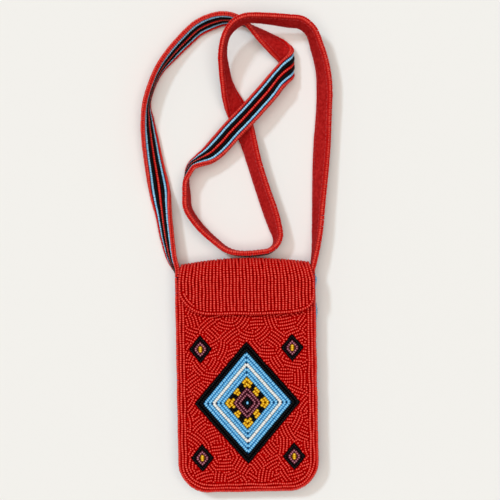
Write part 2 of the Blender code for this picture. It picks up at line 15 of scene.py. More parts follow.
import bmesh
import bpy
import numpy as np
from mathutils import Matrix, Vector

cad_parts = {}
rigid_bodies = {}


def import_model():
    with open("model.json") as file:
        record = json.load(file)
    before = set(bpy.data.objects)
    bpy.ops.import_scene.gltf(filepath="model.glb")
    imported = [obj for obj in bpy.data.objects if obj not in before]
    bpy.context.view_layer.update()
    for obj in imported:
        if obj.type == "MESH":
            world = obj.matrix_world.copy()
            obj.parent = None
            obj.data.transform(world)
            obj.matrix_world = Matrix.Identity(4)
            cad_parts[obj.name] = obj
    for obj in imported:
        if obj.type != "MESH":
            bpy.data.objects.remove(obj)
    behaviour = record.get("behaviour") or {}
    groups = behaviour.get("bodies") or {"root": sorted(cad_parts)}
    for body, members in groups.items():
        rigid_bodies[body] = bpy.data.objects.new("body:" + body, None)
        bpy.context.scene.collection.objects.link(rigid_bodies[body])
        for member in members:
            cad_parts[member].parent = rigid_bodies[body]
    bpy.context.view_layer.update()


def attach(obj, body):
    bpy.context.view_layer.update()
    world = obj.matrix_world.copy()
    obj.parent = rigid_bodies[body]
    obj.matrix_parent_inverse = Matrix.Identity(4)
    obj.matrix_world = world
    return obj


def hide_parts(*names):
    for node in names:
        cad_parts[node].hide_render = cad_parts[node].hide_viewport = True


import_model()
MM = 0.001
rng = np.random.default_rng(20)

# %% [markdown]
# The picture was taken from straight above, with the bag a little turned. A long lens a metre up
# keeps the far parts about as large as the near ones. Looking down needs no rotation but the
# small turn round the view's own axis.

# %% The camera
CAMERA_PLACE = (0.0043, 0.0962, 1.09)
CAMERA_TURN = math.radians(-1.1)
CAMERA_LENS_MM, CAMERA_SENSOR_MM = 100, 36


def in_scene(name, data):
    """A new object of the scene."""
    made = bpy.data.objects.new(name, data)
    bpy.context.scene.collection.objects.link(made)
    return made


camera_data = bpy.data.cameras.new("camera")
camera_data.lens, camera_data.sensor_width = CAMERA_LENS_MM, CAMERA_SENSOR_MM
camera = in_scene("camera", camera_data)
camera.location, camera.rotation_euler = CAMERA_PLACE, (0, 0, CAMERA_TURN)
bpy.context.scene.camera = camera
bpy.context.scene.view_settings.view_transform = "Standard"
wide = CAMERA_PLACE[2] * CAMERA_SENSOR_MM / CAMERA_LENS_MM
print("the frame is", round(wide, 3), "m wide at the table")

# %% [markdown]
# Materials are graphs of nodes, and graphs are easier to read as sums. This small class wraps a
# socket, so that a line such as `1 - mask * 0.4` adds the Math nodes that work it out. Any other
# node comes from one method, which takes its type, its settings and what goes in its sockets.
# Most materials here need noise over the piece, or a number that the points of its mesh carry,
# so these have short methods of their own.


# %% Shader maths as Python
class Wire:
    """An output socket of a material's nodes, with Python's operators."""

    def __init__(self, graph, socket=None):
        self.graph, self.socket = graph, socket

    def node(self, kind, settings=(), output=0, **sockets):
        """Add any node. A socket is named by its name, with _ for a space, or by s0, s1 and so on."""
        made = self.graph.nodes.new(kind)
        for name, value in dict(settings).items():
            if name == "stops":
                made.color_ramp.interpolation = "CONSTANT"
                ramp = made.color_ramp.elements
                while len(ramp) < len(value):
                    ramp.new(0.5)
                for stop, (place, colour) in zip(ramp, value):
                    stop.position, stop.color = place, colour
            else:
                setattr(made, name, value)
        for name, value in sockets.items():
            number = name[0] == "s" and name[1:].isdigit()
            target = made.inputs[int(name[1:]) if number else name.replace("_", " ")]
            if isinstance(value, Wire):
                self.graph.links.new(value.socket, target)
            else:
                target.default_value = value
        return Wire(self.graph, made.outputs[output])

    def maths(self, operation, *values, **settings):
        sockets = {f"s{place}": value for place, value in enumerate(values)}
        return self.node("ShaderNodeMath", {"operation": operation, **settings}, **sockets)

    def __add__(self, other):
        return self.maths("ADD", self, other)

    def __sub__(self, other):
        return self.maths("SUBTRACT", self, other)

    def __rsub__(self, other):
        return self.maths("SUBTRACT", other, self)

    def __mul__(self, other):
        return self.maths("MULTIPLY", self, other)

    def __truediv__(self, other):
        return self.maths("DIVIDE", self, other)

    def __rtruediv__(self, other):
        return self.maths("DIVIDE", other, self)

    __radd__, __rmul__ = __add__, __mul__

    def __abs__(self):
        return self.maths("ABSOLUTE", self)

    def sine(self):
        return self.maths("SINE", self)

    def waves(self, pitch):
        """Waves between -1 and 1 along a length."""
        return (self * (2 * math.pi / pitch)).sine()

    def clamped(self):
        return self.maths("ADD", self, 0.0, use_clamp=True)

    def mix(self, low, high):
        """A colour between two colours, where this value is the share of the second."""
        return self.node("ShaderNodeMix", {"data_type": "RGBA"}, 2, s0=self, s6=low, s7=high)

    def place(self):
        """The place on the piece."""
        return self.node("ShaderNodeTexCoord", output=3)

    def noise(self, fineness, detail, **more):
        """Noise over the piece, between 0 and 1."""
        return self.node(
            "ShaderNodeTexNoise", Vector=self.place(), Scale=fineness, Detail=detail, **more
        )

    def carried(self, name):
        """A number that the points of the piece carry."""
        return self.node("ShaderNodeAttribute", {"attribute_name": name}, 2)


def linear(red, green, blue):
    """A colour from the three numbers that a picture shows, 0 to 255."""
    shares = [value / 255 for value in (red, green, blue)]
    return (*[s / 12.92 if s <= 0.04045 else ((s + 0.055) / 1.055) ** 2.4 for s in shares], 1.0)


def new_material(name, **constants):
    """A material with its shader's plain numbers set, and a wire to build its graph from."""
    material = bpy.data.materials.new(name)
    material.use_nodes = True
    shader = material.node_tree.nodes["Principled BSDF"]
    for socket, value in constants.items():
        shader.inputs[socket.replace("_", " ")].default_value = value
    return material, Wire(material.node_tree), shader


def plug(shader, name, wire):
    """Link a wire into a socket of a shader."""
    wire.graph.links.new(wire.socket, shader.inputs[name])


# %% [markdown]
# The table is a plain warm white slab. One lamp from the upper left draws the shadows, a wide
# soft one fills them from the ceiling, and pale walls give a little from all round: the world is
# those walls. What the camera, gloss and glass see there is the table's own colour, so that a
# low side view has no dark horizon. A lamp has a name, a strength, a colour, the way that its
# light goes, and its softness in degrees.

# %% The table, the lamps and the walls
FLOOR_WIDTH = 6.0
FLOOR_COLOUR, FLOOR_DARKER = linear(240, 239, 235), linear(238, 237, 232)
FLOOR_FINENESS, FLOOR_CONTRAST = 3.0, 0.5
WALL_LIGHT = 0.22
WARM = (1.07, 1.0, 0.95)
LAMPS = (
    ("key", 1.0, (0.78, 0.96, 1.09), (0.57, -0.48, -1.0), 7),
    ("ceiling", 1.73, WARM, (0.0, 0.0, -1.0), 60),
)

bpy.ops.object.select_all(action="DESELECT")
bpy.ops.mesh.primitive_plane_add(size=FLOOR_WIDTH)
floor = bpy.context.object
floor.name = "floor"
stone, wire, shader = new_material("warm white slab", Roughness=0.85)
cloudy = wire.noise(FLOOR_FINENESS, 3.0) * FLOOR_CONTRAST + (1 - FLOOR_CONTRAST) / 2
plug(shader, "Base Color", cloudy.mix(FLOOR_DARKER, FLOOR_COLOUR))
floor.data.materials.append(stone)

for name, strength, colour, way, softness in LAMPS:
    lamp_data = bpy.data.lights.new(name, "SUN")
    lamp_data.energy, lamp_data.color, lamp_data.angle = strength, colour, math.radians(softness)
    lamp = in_scene(name, lamp_data)
    lamp.rotation_euler = Vector(way).to_track_quat("-Z", "Y").to_euler()

walls = bpy.data.worlds.new("pale walls")
walls.use_nodes = True
bpy.context.scene.world = walls
background = walls.node_tree.nodes["Background"]
wire = Wire(walls.node_tree)
path = walls.node_tree.nodes.new("ShaderNodeLightPath").outputs
seen = sum(Wire(wire.graph, path[f"Is {ray} Ray"]) for ray in ("Camera", "Glossy", "Transmission"))
light = tuple(WALL_LIGHT * share for share in WARM) + (1,)
wire.graph.links.new(seen.clamped().mix(light, FLOOR_COLOUR).socket, background.inputs["Color"])
print("lamps:", [lamp[0] for lamp in LAMPS], "walls:", WALL_LIGHT)

# %% [markdown]
# ## The strap's route
#
# The strap is 0.97 m of a flat band, 17.5 mm wide. It leaves the bag at the left, stands on its
# edge, leans over, is folded back on itself at the top right, passes over its own start, curls
# round above the flap, and goes back over the top to the right side. These are the points that
# the CAD model was made from: x, y, the height of the band's lower edge, and its roll in degrees,
# where 0 lies flat with the beads up and 180 has the ribbon up.

# %% Stations along the strap
STRAP_START = (
    (-0.0532, 0.0820, 0.0000, -81), (-0.0562, 0.0894, 0.0000, -70), (-0.0595, 0.1044, 0.0000, -56),
    (-0.0633, 0.1313, 0.0000, -34), (-0.0653, 0.1429, 0.0000, -5), (-0.0675, 0.1554, 0.0000, 25),
    (-0.0699, 0.1694, 0.0000, 38), (-0.0718, 0.1831, 0.0000, 47), (-0.0734, 0.1970, 0.0000, 62),
    (-0.0740, 0.2109, 0.0000, 81), (-0.0702, 0.2247, 0.0000, 84), (-0.0633, 0.2385, 0.0000, 78),
    (-0.0553, 0.2482, 0.0000, 68), (-0.0433, 0.2605, 0.0000, 60), (-0.0313, 0.2706, 0.0000, 57),
    (-0.0228, 0.2743, 0.0000, 57), (-0.0148, 0.2765, 0.0000, 64), (-0.0071, 0.2765, 0.0000, 72),
    (-0.0001, 0.2748, 0.0000, 84), (0.0059, 0.2712, 0.0000, 96), (0.0110, 0.2673, 0.0000, 108),
    (0.0168, 0.2626, 0.0000, 124), (0.0260, 0.2557, 0.0000, 148),
)
STRAP_END = (
    (0.0190, 0.2167, 0.0115, 366), (0.0020, 0.1985, 0.0122, 368), (-0.0079, 0.1888, 0.0105, 368),
    (-0.0175, 0.1786, 0.0070, 372), (-0.0258, 0.1711, 0.0025, 392), (-0.0341, 0.1664, 0.0003, 418),
    (-0.0396, 0.1628, 0.0000, 430), (-0.0423, 0.1578, 0.0000, 437), (-0.0442, 0.1516, 0.0000, 450),
    (-0.0442, 0.1402, 0.0000, 459), (-0.0438, 0.1306, 0.0000, 461), (-0.0370, 0.1184, 0.0000, 460),
    (-0.0245, 0.1051, 0.0000, 457), (-0.0111, 0.0954, 0.0000, 453), (-0.0032, 0.0937, 0.0000, 449),
    (0.0102, 0.0938, 0.0000, 447), (0.0203, 0.0958, 0.0000, 449), (0.0248, 0.1004, 0.0000, 457),
    (0.0260, 0.1074, 0.0000, 470), (0.0246, 0.1129, 0.0000, 477), (0.0215, 0.1235, 0.0000, 484),
    (0.0152, 0.1432, 0.0000, 483), (0.0092, 0.1634, 0.0000, 484), (0.0039, 0.1837, 0.0000, 497),
    (-0.0008, 0.1979, 0.0000, 525), (-0.0049, 0.2073, 0.0003, 555), (-0.0091, 0.2171, 0.0010, 585),
    (-0.0116, 0.2265, 0.0030, 603), (-0.0131, 0.2368, 0.0065, 610), (-0.0139, 0.2470, 0.0105, 617),
    (-0.0130, 0.2544, 0.0140, 621), (-0.0100, 0.2626, 0.0170, 622), (-0.0035, 0.2698, 0.0184, 618),
    (0.0046, 0.2734, 0.0184, 620), (0.0131, 0.2738, 0.0175, 620), (0.0231, 0.2734, 0.0145, 617),
    (0.0370, 0.2721, 0.0110, 611), (0.0478, 0.2706, 0.0085, 610), (0.0542, 0.2654, 0.0070, 610),
    (0.0594, 0.2523, 0.0040, 603), (0.0637, 0.2352, 0.0020, 599), (0.0647, 0.2200, 0.0006, 594),
    (0.0639, 0.2026, 0.0000, 594), (0.0619, 0.1758, 0.0000, 588), (0.0598, 0.1490, 0.0000, 596),
    (0.0583, 0.1289, 0.0000, 605), (0.0569, 0.1089, 0.0000, 613), (0.0554, 0.0954, 0.0000, 622),
    (0.0536, 0.0850, 0.0000, 628),
)
BAND_WIDTH = 0.0175
BAND_THICKNESS = 0.0040
BAND_Z = 0.0002
STRAP_REST_GAP = 0.0003
STRAP_EXIT = (0.0522, 0.0763)
STRAP_EXIT_RUN = 0.0020
# The strap stands on edge where it leaves the bag at either side. 630 is two whole turns on.
EXIT_ROLLS = {-1: -90.0, 1: 630.0}
FOLD_RADIUS = 0.0050
FOLD_START = Vector((0.0347, 0.2486, BAND_THICKNESS / 2 + STRAP_REST_GAP))
FOLD_SLOPE = math.radians(42)
FOLD_STATIONS = 6


def band_middle(x, y, lift, roll):
    """The middle of the band's section, from the height of its lower edge and its roll."""
    angle = math.radians(roll)
    upright = BAND_WIDTH / 2 * abs(math.sin(angle))
    flat = BAND_THICKNESS / 2 * abs(math.cos(angle))
    return Vector((x, y, STRAP_REST_GAP + lift + upright + flat))


def stations_round_the_fold():
    """Middle, roll, slant of the crease and way along, at stations round the fold."""
    found = []
    across, down = math.cos(FOLD_SLOPE), math.sin(FOLD_SLOPE)
    slant = down / across
    for step in range(FOLD_STATIONS + 1):
        angle = math.pi * step / FOLD_STATIONS
        place = FOLD_START + Vector((
            FOLD_RADIUS * math.sin(angle),
            -FOLD_RADIUS * angle * slant,
            FOLD_RADIUS * (1 - math.cos(angle)),
        ))
        way = Vector((across * math.cos(angle), -down, across * math.sin(angle)))
        side = Vector((0, 0, 1)).cross(way).normalized()
        face = Vector((math.sin(angle), 0, -math.cos(angle)))
        roll = math.degrees(math.atan2(-face.dot(side), face.dot(way.cross(side))))
        found.append((place, roll % 360, slant, way))
    # The last roll is a whole turn, which the remainder would make 0.
    found[0] = (found[0][0], 180.0, *found[0][2:])
    found[-1] = (found[-1][0], 360.0, *found[-1][2:])
    return found


def strap_stations():
    """The same values at all stations, from where the strap leaves the bag to where it ends."""
    start, end = (
        [(band_middle(*row), float(row[3]), 0.0, None) for row in rows]
        for rows in (STRAP_START, STRAP_END)
    )
    exits = []
    for side, roll in EXIT_ROLLS.items():
        for run in (0, STRAP_EXIT_RUN):
            place = Vector((side * STRAP_EXIT[0], STRAP_EXIT[1] + run, BAND_Z + BAND_WIDTH / 2))
            exits.append((place, roll, 0.0, Vector((0, -side, 0))))
    return exits[:2] + start + stations_round_the_fold() + end + exits[:1:-1]


stations = strap_stations()
print("stations along the strap:", len(stations))

# %% [markdown]
# Between the stations every value follows one smooth curve. Each section gets three directions:
# the middle, the way across the band, and the way its beaded face looks. With them a point of
# the band is found from how far along, how far across and how high over the middle it lies.


# %% Sections along the strap
STRAP_STEP = 0.0015


def smooth_value(values, knots, index, share):
    """One value between stations, on a smooth curve through all of them."""
    def slope(at):
        if at == 0:
            return (values[1] - values[0]) / (knots[1] - knots[0])
        if at == len(values) - 1:
            return (values[-1] - values[-2]) / (knots[-1] - knots[-2])
        before, after = knots[at] - knots[at - 1], knots[at + 1] - knots[at]
        rise_before = (values[at] - values[at - 1]) / before
        rise_after = (values[at + 1] - values[at]) / after
        return (rise_before * after + rise_after * before) / (before + after)

    span = knots[index + 1] - knots[index]
    cube, square = share**3, share**2
    return (
        values[index] * (2 * cube - 3 * square + 1)
        + slope(index) * span * (cube - 2 * square + share)
        + values[index + 1] * (3 * square - 2 * cube)
        + slope(index + 1) * span * (cube - square)
    )


def strap_sections():
    """Arrays of middles, directions across and directions of the beaded face."""
    knots = [0.0]
    for before, after in zip(stations, stations[1:]):
        knots.append(knots[-1] + (after[0] - before[0]).length)
    places, rolls, slants, ways = zip(*stations)
    samples = []
    for index in range(len(stations) - 1):
        pieces = max(1, math.ceil((knots[index + 1] - knots[index]) / STRAP_STEP))
        samples += [(index, piece / pieces) for piece in range(pieces)]
    samples.append((len(stations) - 2, 1.0))
    middles = [smooth_value(places, knots, *sample) for sample in samples]
    middles_found, across_found, faces_found = [], [], []
    for number, (index, share) in enumerate(samples):
        before = middles[max(number - 1, 0)]
        after = middles[min(number + 1, len(middles) - 1)]
        way = (after - before).normalized()
        if ways[index] and ways[index + 1]:
            way = ways[index].lerp(ways[index + 1], share).normalized()
        roll = math.radians(smooth_value(rolls, knots, index, share))
        slant = smooth_value(slants, knots, index, share)
        side = Vector((0, 0, 1)).cross(way).normalized()
        rise = way.cross(side)
        across = math.cos(roll) * side + math.sin(roll) * rise
        middles_found.append(middles[number])
        across_found.append(across + slant * way)
        faces_found.append(math.cos(roll) * rise - math.sin(roll) * side)
    return tuple(np.array(found) for found in (middles_found, across_found, faces_found))


def lengths_along(line):
    """How far along a line each of its points is."""
    return np.concatenate([[0], np.cumsum(np.linalg.norm(np.diff(line, axis=0), axis=1))])


strap_middles, strap_across, strap_faces = strap_sections()
strap_along = lengths_along(strap_middles)
print("the strap is", round(strap_along[-1], 3), "m long in", len(strap_middles), "sections")

# %% [markdown]
# ## One glass bead
#
# A seed bead is a short fat ring of glass, wider than it is long, threaded so close to the next
# that its hole never shows. It could be a torus, but sixteen thousand of them would then be far
# too heavy. A short cylinder with eight sides is enough: its long edges are cut in three, and the
# two rings of new points are pushed out and apart. Smooth shading rounds the rest. The foot lies
# on the cloth, where nobody sees it, so the edges on both sides of the lowest one are dissolved.
#
# In edit mode, edges and points are picked in code, by a test on where they are. The stitches
# further down start from the same short bar.

# %% The bead
BEAD_WIDTH, BEAD_LENGTH, BEAD_SIDES = 0.00258, 0.00168, 8
BEAD_END_SHARE, BEAD_BELT_SHARE = 0.76, 0.34
CLOSE = 1e-6


def runs_along(edge):
    """Whether an edge runs along the bar."""
    return abs(edge.verts[0].co.x - edge.verts[1].co.x) > CLOSE


def beside_foot(edge):
    """Whether an edge runs along the bead next to its lowest one."""
    one, other = (vertex.co for vertex in edge.verts)
    below = max(one.z, other.z) < -CLOSE < CLOSE < min(abs(one.y), abs(other.y))
    return below and runs_along(edge)


def select_where(kind, test):
    """In edit mode, select the edges or points that pass a test."""
    bpy.ops.mesh.select_mode(type=kind)
    bpy.ops.mesh.select_all(action="DESELECT")
    form = bmesh.from_edit_mesh(bpy.context.object.data)
    for part in form.edges if kind == "EDGE" else form.verts:
        part.select_set(test(part))


def short_bar(sides, radius, length):
    """A cylinder that lies along x, in edit mode, with its long edges cut in three."""
    bpy.ops.object.select_all(action="DESELECT")
    bpy.ops.mesh.primitive_cylinder_add(
        vertices=sides, radius=radius, depth=length, rotation=(0, math.pi / 2, 0)
    )
    bpy.ops.object.transform_apply(location=True, rotation=True, scale=True)
    bpy.ops.object.mode_set(mode="EDIT")
    select_where("EDGE", runs_along)
    bpy.ops.mesh.subdivide(number_cuts=2)
    return bpy.context.object


bead = short_bar(BEAD_SIDES, BEAD_WIDTH / 2 * BEAD_END_SHARE, BEAD_LENGTH)
select_where("VERT", lambda vertex: abs(vertex.co.x) < BEAD_LENGTH / 4)
bpy.ops.transform.resize(value=(3 * BEAD_BELT_SHARE, 1 / BEAD_END_SHARE, 1 / BEAD_END_SHARE))
select_where("EDGE", beside_foot)
bpy.ops.mesh.dissolve_edges(use_verts=True)
bpy.ops.object.mode_set(mode="OBJECT")
bead_points = np.array([vertex.co for vertex in bead.data.vertices])
bead_corners = np.array([loop.vertex_index for loop in bead.data.loops])
bead_faces = np.array([len(face.vertices) for face in bead.data.polygons])
bead_map = np.array([corner.uv for corner in bead.data.uv_layers[0].data])
bpy.data.objects.remove(bead)
print("a bead has", len(bead_faces), "faces and", int((bead_faces - 2).sum()), "triangles")

# %% [markdown]
# Glass beads of one colour are never quite alike. Every point of a bead also carries a number,
# its shade, which is painted light: a painted highlight along the top of the bead and painted
# shade at its ends and foot, times a factor of the bead's own. The material mixes a deeper and a
# paler glass by it, with a little cloudiness that comes from where the bead is. The surface is
# half matt, so that no bead has a hard white spot.

# %% Glass for the beads
GLASS_ROUGHNESS = 0.30
CLOUD_FINENESS, CLOUD_SHARE, CLOUD_LEVEL = 260.0, 0.2, 0.12


def glass(name, deep, pale, slot, shine=0.05):
    """Coloured glass between two colours, with the slot of its beads."""
    material, wire, shader = new_material(name, Roughness=GLASS_ROUGHNESS, Specular_IOR_Level=shine)
    # The carried shade is painted light: towards the pale glass it is a painted highlight along a bead's
    # top, towards the deep glass painted shade at its ends and flanks.
    shade = wire.carried("shade") + wire.noise(CLOUD_FINENESS, 2.0) * CLOUD_SHARE - CLOUD_LEVEL
    plug(shader, "Base Color", shade.clamped().mix(deep, pale))
    return material, slot


GLASSES = {
    "red": glass("red glass", linear(196, 0, 0), linear(255, 112, 96), "red_beads"),
    "black": glass("black glass", linear(3, 2, 4), linear(11, 9, 13), "black_beads", 0.06),
    "blue": glass("light blue glass", linear(86, 172, 224), linear(178, 232, 255), "light_blue_beads"),
    "yellow": glass("yellow glass", linear(228, 164, 12), linear(255, 232, 84), "yellow_beads"),
    "plum": glass("plum glass", linear(96, 34, 50), linear(208, 138, 150), "plum_beads"),
    "white": glass("white glass", linear(232, 231, 224), linear(255, 254, 250), "light_blue_beads"),
}
print("glasses:", list(GLASSES))

# %% [markdown]
# Three patterns of painted light serve the whole bag. Most beads have a narrow painted highlight
# along the top and painted shade on their flanks. Beads along the edge of a band are seen from
# their side, so their painted highlight is broader and weaker. The light blue rows of the strap
# read as lines, so theirs is the broadest. A factor of its own, between the two of BEAD_SHADES,
# makes each bead a little unlike the next.

# %% Painted highlight and shade over a bead
BEAD_SHADES = (0.8, 1.3)
END_SHADE, LOW_SHADE, END_REACH = 0.1, 0.6, 0.4
HIGHLIGHT_POWER, EDGE_HIGHLIGHT_POWER, WIDE_HIGHLIGHT_POWER = 6, 3, 1.5
EDGE_HIGHLIGHT_STRENGTH = 0.6

bead_up = np.maximum(bead_points[:, 2] / np.hypot(bead_points[:, 1], bead_points[:, 2]), 0)
# Painted shade at both ends of a bead, where it meets the next one.
bead_belt = np.where(np.abs(bead_points[:, 0]) > BEAD_LENGTH * END_REACH, END_SHADE, 1)
# A painted highlight along the top of a bead, falling to painted shade on its flanks and foot.
bead_painted_light = (1 + LOW_SHADE) * bead_up**HIGHLIGHT_POWER * bead_belt - LOW_SHADE
bead_edge_painted_light = EDGE_HIGHLIGHT_STRENGTH * bead_up**EDGE_HIGHLIGHT_POWER * bead_belt
bead_wide_painted_light = bead_up**WIDE_HIGHLIGHT_POWER * bead_belt
print("shade from", round(bead_painted_light.min(), 2), "at the foot to", round(bead_painted_light.max(), 2))

# %% [markdown]
# Beads are sewn in strands. A strand is a line of points with the direction that points away from
# the cloth at each. Beads are set along it at one pitch, each with a slightly different size,
# place and tilt, because a hand has pushed the needle through.
#
# All beads of a piece become one mesh. Every bead also gets a small square of its own on the
# piece's map, so that its colour can be painted there without touching the next one's.

# %% Helpers to thread and sew beads
BEAD_PITCH = 0.00172
MOST_BEADS = 3300
PITCH_PLAY, PLACE_PLAY, TILT_PLAY, SIZE_PLAY = 0.06, 0.00004, 0.035, 0.022
MEAN_WIDTH, WIDTH_LIMITS, LENGTH_LIMITS = 1.05, (-0.1, 0.07), (-0.1, 0.06)
BEAD_HEIGHT_SHARE = 0.88
MAP_MARGIN = 0.08


def threaded(line, ups, pitch=BEAD_PITCH, play=PITCH_PLAY):
    """Beads along a strand: an array of places, ways along the thread and ways up."""
    along = lengths_along(line)
    count = int(round(along[-1] / pitch))
    step = along[-1] / count
    at = (np.arange(count) + 0.5 + rng.uniform(-play, play, count)) * step

    def on(values, where):
        return np.stack([np.interp(where, along, column) for column in values.T], 1)

    ways = on(line, at + step / 2) - on(line, at - step / 2)
    return np.stack([on(line, at), ways, on(np.broadcast_to(ups, line.shape), at)], 1)


def unit(vectors):
    """The same ways, each one metre long."""
    return vectors / np.linalg.norm(vectors, axis=1, keepdims=True)


def dressed(piece, material, slot, replaced=()):
    """Give a piece its material, the bag to ride on and the nodes that it stands for. The slot is not
    used.
    """
    piece.data.materials.append(material)
    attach(piece, "root")
    if replaced:
        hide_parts(*replaced)
    return piece


def sewn(name, colour, strands, replaced=(), wider=1.0, painted_light=bead_painted_light):
    """One or more pieces of beads of one colour."""
    beads = np.concatenate(strands)
    pieces = []
    batches = math.ceil(len(beads) / MOST_BEADS)
    for batch, part in enumerate(np.array_split(beads, batches)):
        count = len(part)
        way = unit(unit(part[:, 1]) + rng.normal(0, TILT_PLAY, (count, 3)))
        side = unit(np.cross(part[:, 2], way))
        up = np.cross(way, side)
        place = part[:, 0] + rng.normal(0, PLACE_PLAY, (count, 3))
        width = wider * MEAN_WIDTH + rng.normal(0, SIZE_PLAY, count).clip(*WIDTH_LIMITS)
        longer = 1 + rng.normal(0, SIZE_PLAY, count).clip(*LENGTH_LIMITS)
        size = np.stack([longer, width, width * BEAD_HEIGHT_SHARE], 1)
        points = place[:, None] + (bead_points * size[:, None]) @ np.stack([way, side, up], 1)
        corners = bead_corners + np.arange(count)[:, None] * len(bead_points)
        starts = np.concatenate([[0], np.cumsum(np.tile(bead_faces, count))[:-1]])
        mesh = bpy.data.meshes.new(name)
        mesh.vertices.add(count * len(bead_points))
        mesh.loops.add(corners.size)
        mesh.polygons.add(len(starts))
        mesh.vertices.foreach_set("co", points.ravel())
        mesh.loops.foreach_set("vertex_index", corners.ravel())
        mesh.polygons.foreach_set("loop_start", starts)
        mesh.update(calc_edges=True)
        mesh.polygons.foreach_set("use_smooth", np.ones(len(starts), bool))
        grid = math.ceil(math.sqrt(count))
        cells = np.stack([np.arange(count) % grid, np.arange(count) // grid], 1)
        painted = (cells[:, None] + MAP_MARGIN + (1 - 2 * MAP_MARGIN) * bead_map) / grid
        mesh.uv_layers.new(name="OFBake").data.foreach_set("uv", painted.ravel())
        # Each bead's painted highlight and shade, times a factor of the bead's own.
        shade = rng.uniform(*BEAD_SHADES, (count, 1)) * painted_light
        mesh.attributes.new("shade", "FLOAT", "POINT").data.foreach_set("value", shade.ravel())
        piece = in_scene(name if batches == 1 else f"{name}_{batch + 1}", mesh)
        pieces.append(dressed(piece, *GLASSES[colour], replaced))
    print(name, len(beads), "beads in", batches)
    return pieces


# %% [markdown]
# ## The strap's beads
#
# The strap's face has seven rows of beads: red along both edges and down the middle, light blue
# inside the edges, and black between. The rows run the whole length without a seam, so each row
# is one strand that keeps its distance from the middle of the band. Over both edges goes one
# more red row, as an edging, which faces outwards and covers the side of the band.

# %% Rows of beads along the strap
ROW_COLOURS = ("red", "blue", "black", "red", "black", "blue", "red")
MIDDLE_ROW = 3
BEAD_ROW, STRAP_ROW = 0.0025, 0.0024
STRAP_BEAD_HEIGHT, STRAP_PITCH_PLAY = 0.0009, 0.05
EDGING_OUT, EDGING_DROP, EDGE_LEAN = 0.00015, 0.0016, 0.4
# The edge rows and the edging get a broader, weaker painted highlight, the light blue rows the broadest.
STRAP_SETS = {
    "red": ("red", 0.95, bead_painted_light), "blue": ("blue", 0.72, bead_wide_painted_light),
    "black": ("black", 1.26, bead_painted_light), "edge": ("red", 0.95, bead_edge_painted_light),
}

strap_beads = {name: [] for name in STRAP_SETS}
for row, colour in enumerate(ROW_COLOURS):
    offset = (row - MIDDLE_ROW) * STRAP_ROW
    line = strap_middles + strap_across * offset + strap_faces * STRAP_BEAD_HEIGHT
    beads = threaded(line, strap_faces, play=STRAP_PITCH_PLAY)
    if abs(row - MIDDLE_ROW) < MIDDLE_ROW:
        strap_beads[colour].append(beads)
        continue
    outwards = unit(np.cross(beads[:, 2], beads[:, 1])) * np.sign(offset)
    places = beads[:, 0] + outwards * EDGING_OUT - unit(beads[:, 2]) * EDGING_DROP
    # The edge rows lean a little outwards, which turns the beads and also their painted highlight
    # towards the band's side.
    beads[:, 2] = unit(beads[:, 2]) + outwards * EDGE_LEAN
    strap_beads["edge"] += [beads, np.stack([places, beads[:, 1], outwards], 1)]
strap_pieces = []
for name, (colour, wider, painted_light) in STRAP_SETS.items():
    strap_pieces += sewn(
        f"strap_{name}_strands", colour, strap_beads[name], ["strap_beadwork"], wider, painted_light
    )

# %% [markdown]
# ## The strap's ribbon
#
# The other face is a woven ribbon, a little narrower than the beads, so the edge rows peep out
# beside it. It has fine ribs across, a long thread beside each edge, and a felt-like unevenness
# from wear. These follow the strap round its loops, so every point of the ribbon carries how far
# along and across it is.

# %% The ribbon's cloth
RIBBON_HALF_WIDTH = 0.0068
RIBBON_DEEP, RIBBON_PALE = linear(152, 0, 2), linear(200, 42, 40)
RIB_PITCH, THREAD_PITCH = 0.00085, 0.00062
EDGE_LINE, EDGE_LINE_HALF = 0.0020, 0.0004
FELT_FINENESS, WORN_FINENESS = 450.0, 70.0
FELT, WORN, WOVEN, RIBBON_LEVEL = 2.4, 0.6, 0.2, 1.1
RELIEF, RIBBON_RELIEF = 0.0002, 0.6

woven, wire, shader = new_material("red woven ribbon", Roughness=0.95, Specular_IOR_Level=0.05)
along, across = wire.carried("along"), wire.carried("across")
felt, worn = wire.noise(FELT_FINENESS, 4.0, Roughness=0.7), wire.noise(WORN_FINENESS, 3.0)
weave = along.waves(RIB_PITCH) * across.waves(THREAD_PITCH) * 0.5 + 0.5
line = (1 - abs(RIBBON_HALF_WIDTH - abs(across) - EDGE_LINE) / EDGE_LINE_HALF).clamped()
shade = felt * FELT + worn * WORN + (weave - line) * WOVEN - RIBBON_LEVEL
plug(shader, "Base Color", shade.clamped().mix(RIBBON_DEEP, RIBBON_PALE))
height = (weave + felt) * RIBBON_RELIEF
plug(shader, "Normal", wire.node("ShaderNodeBump", Strength=0.5, Distance=RELIEF, Height=height))
print("ribs every", round(RIB_PITCH / MM, 2), "mm")

# %% [markdown]
# The ribbon is a closed strip swept along the sections: ten points round its rim at every
# section, joined by faces, with a face at each end. Only the upper half of the rim is written,
# and the lower half mirrors it.

# %% The ribbon
RIBBON_HEIGHT = -0.0013
RIBBON_RIM = (
    (-1.0, 0.0), (-0.965, 0.0006), (-0.6, 0.0007), (0.6, 0.0007), (0.965, 0.0006), (1.0, 0.0),
)


def add_piece(name, points, faces, material, slot, replaced=(), smooth=True):
    """A piece from points and faces."""
    mesh = bpy.data.meshes.new(name)
    mesh.from_pydata([tuple(point) for point in points], [], faces)
    mesh.polygons.foreach_set("use_smooth", np.full(len(mesh.polygons), smooth))
    return dressed(in_scene(name, mesh), material, slot, replaced)


def write_values(piece, name, values):
    """Numbers at the points of a piece, for its material to read."""
    layer = piece.data.attributes.new(name, "FLOAT", "POINT")
    layer.data.foreach_set("value", np.asarray(values, float).ravel())


def volume(piece):
    """The space inside a closed mesh, which is below 0 where its faces look inwards."""
    form = bmesh.new()
    form.from_mesh(piece.data)
    found = form.calc_volume(signed=True)
    form.free()
    return found


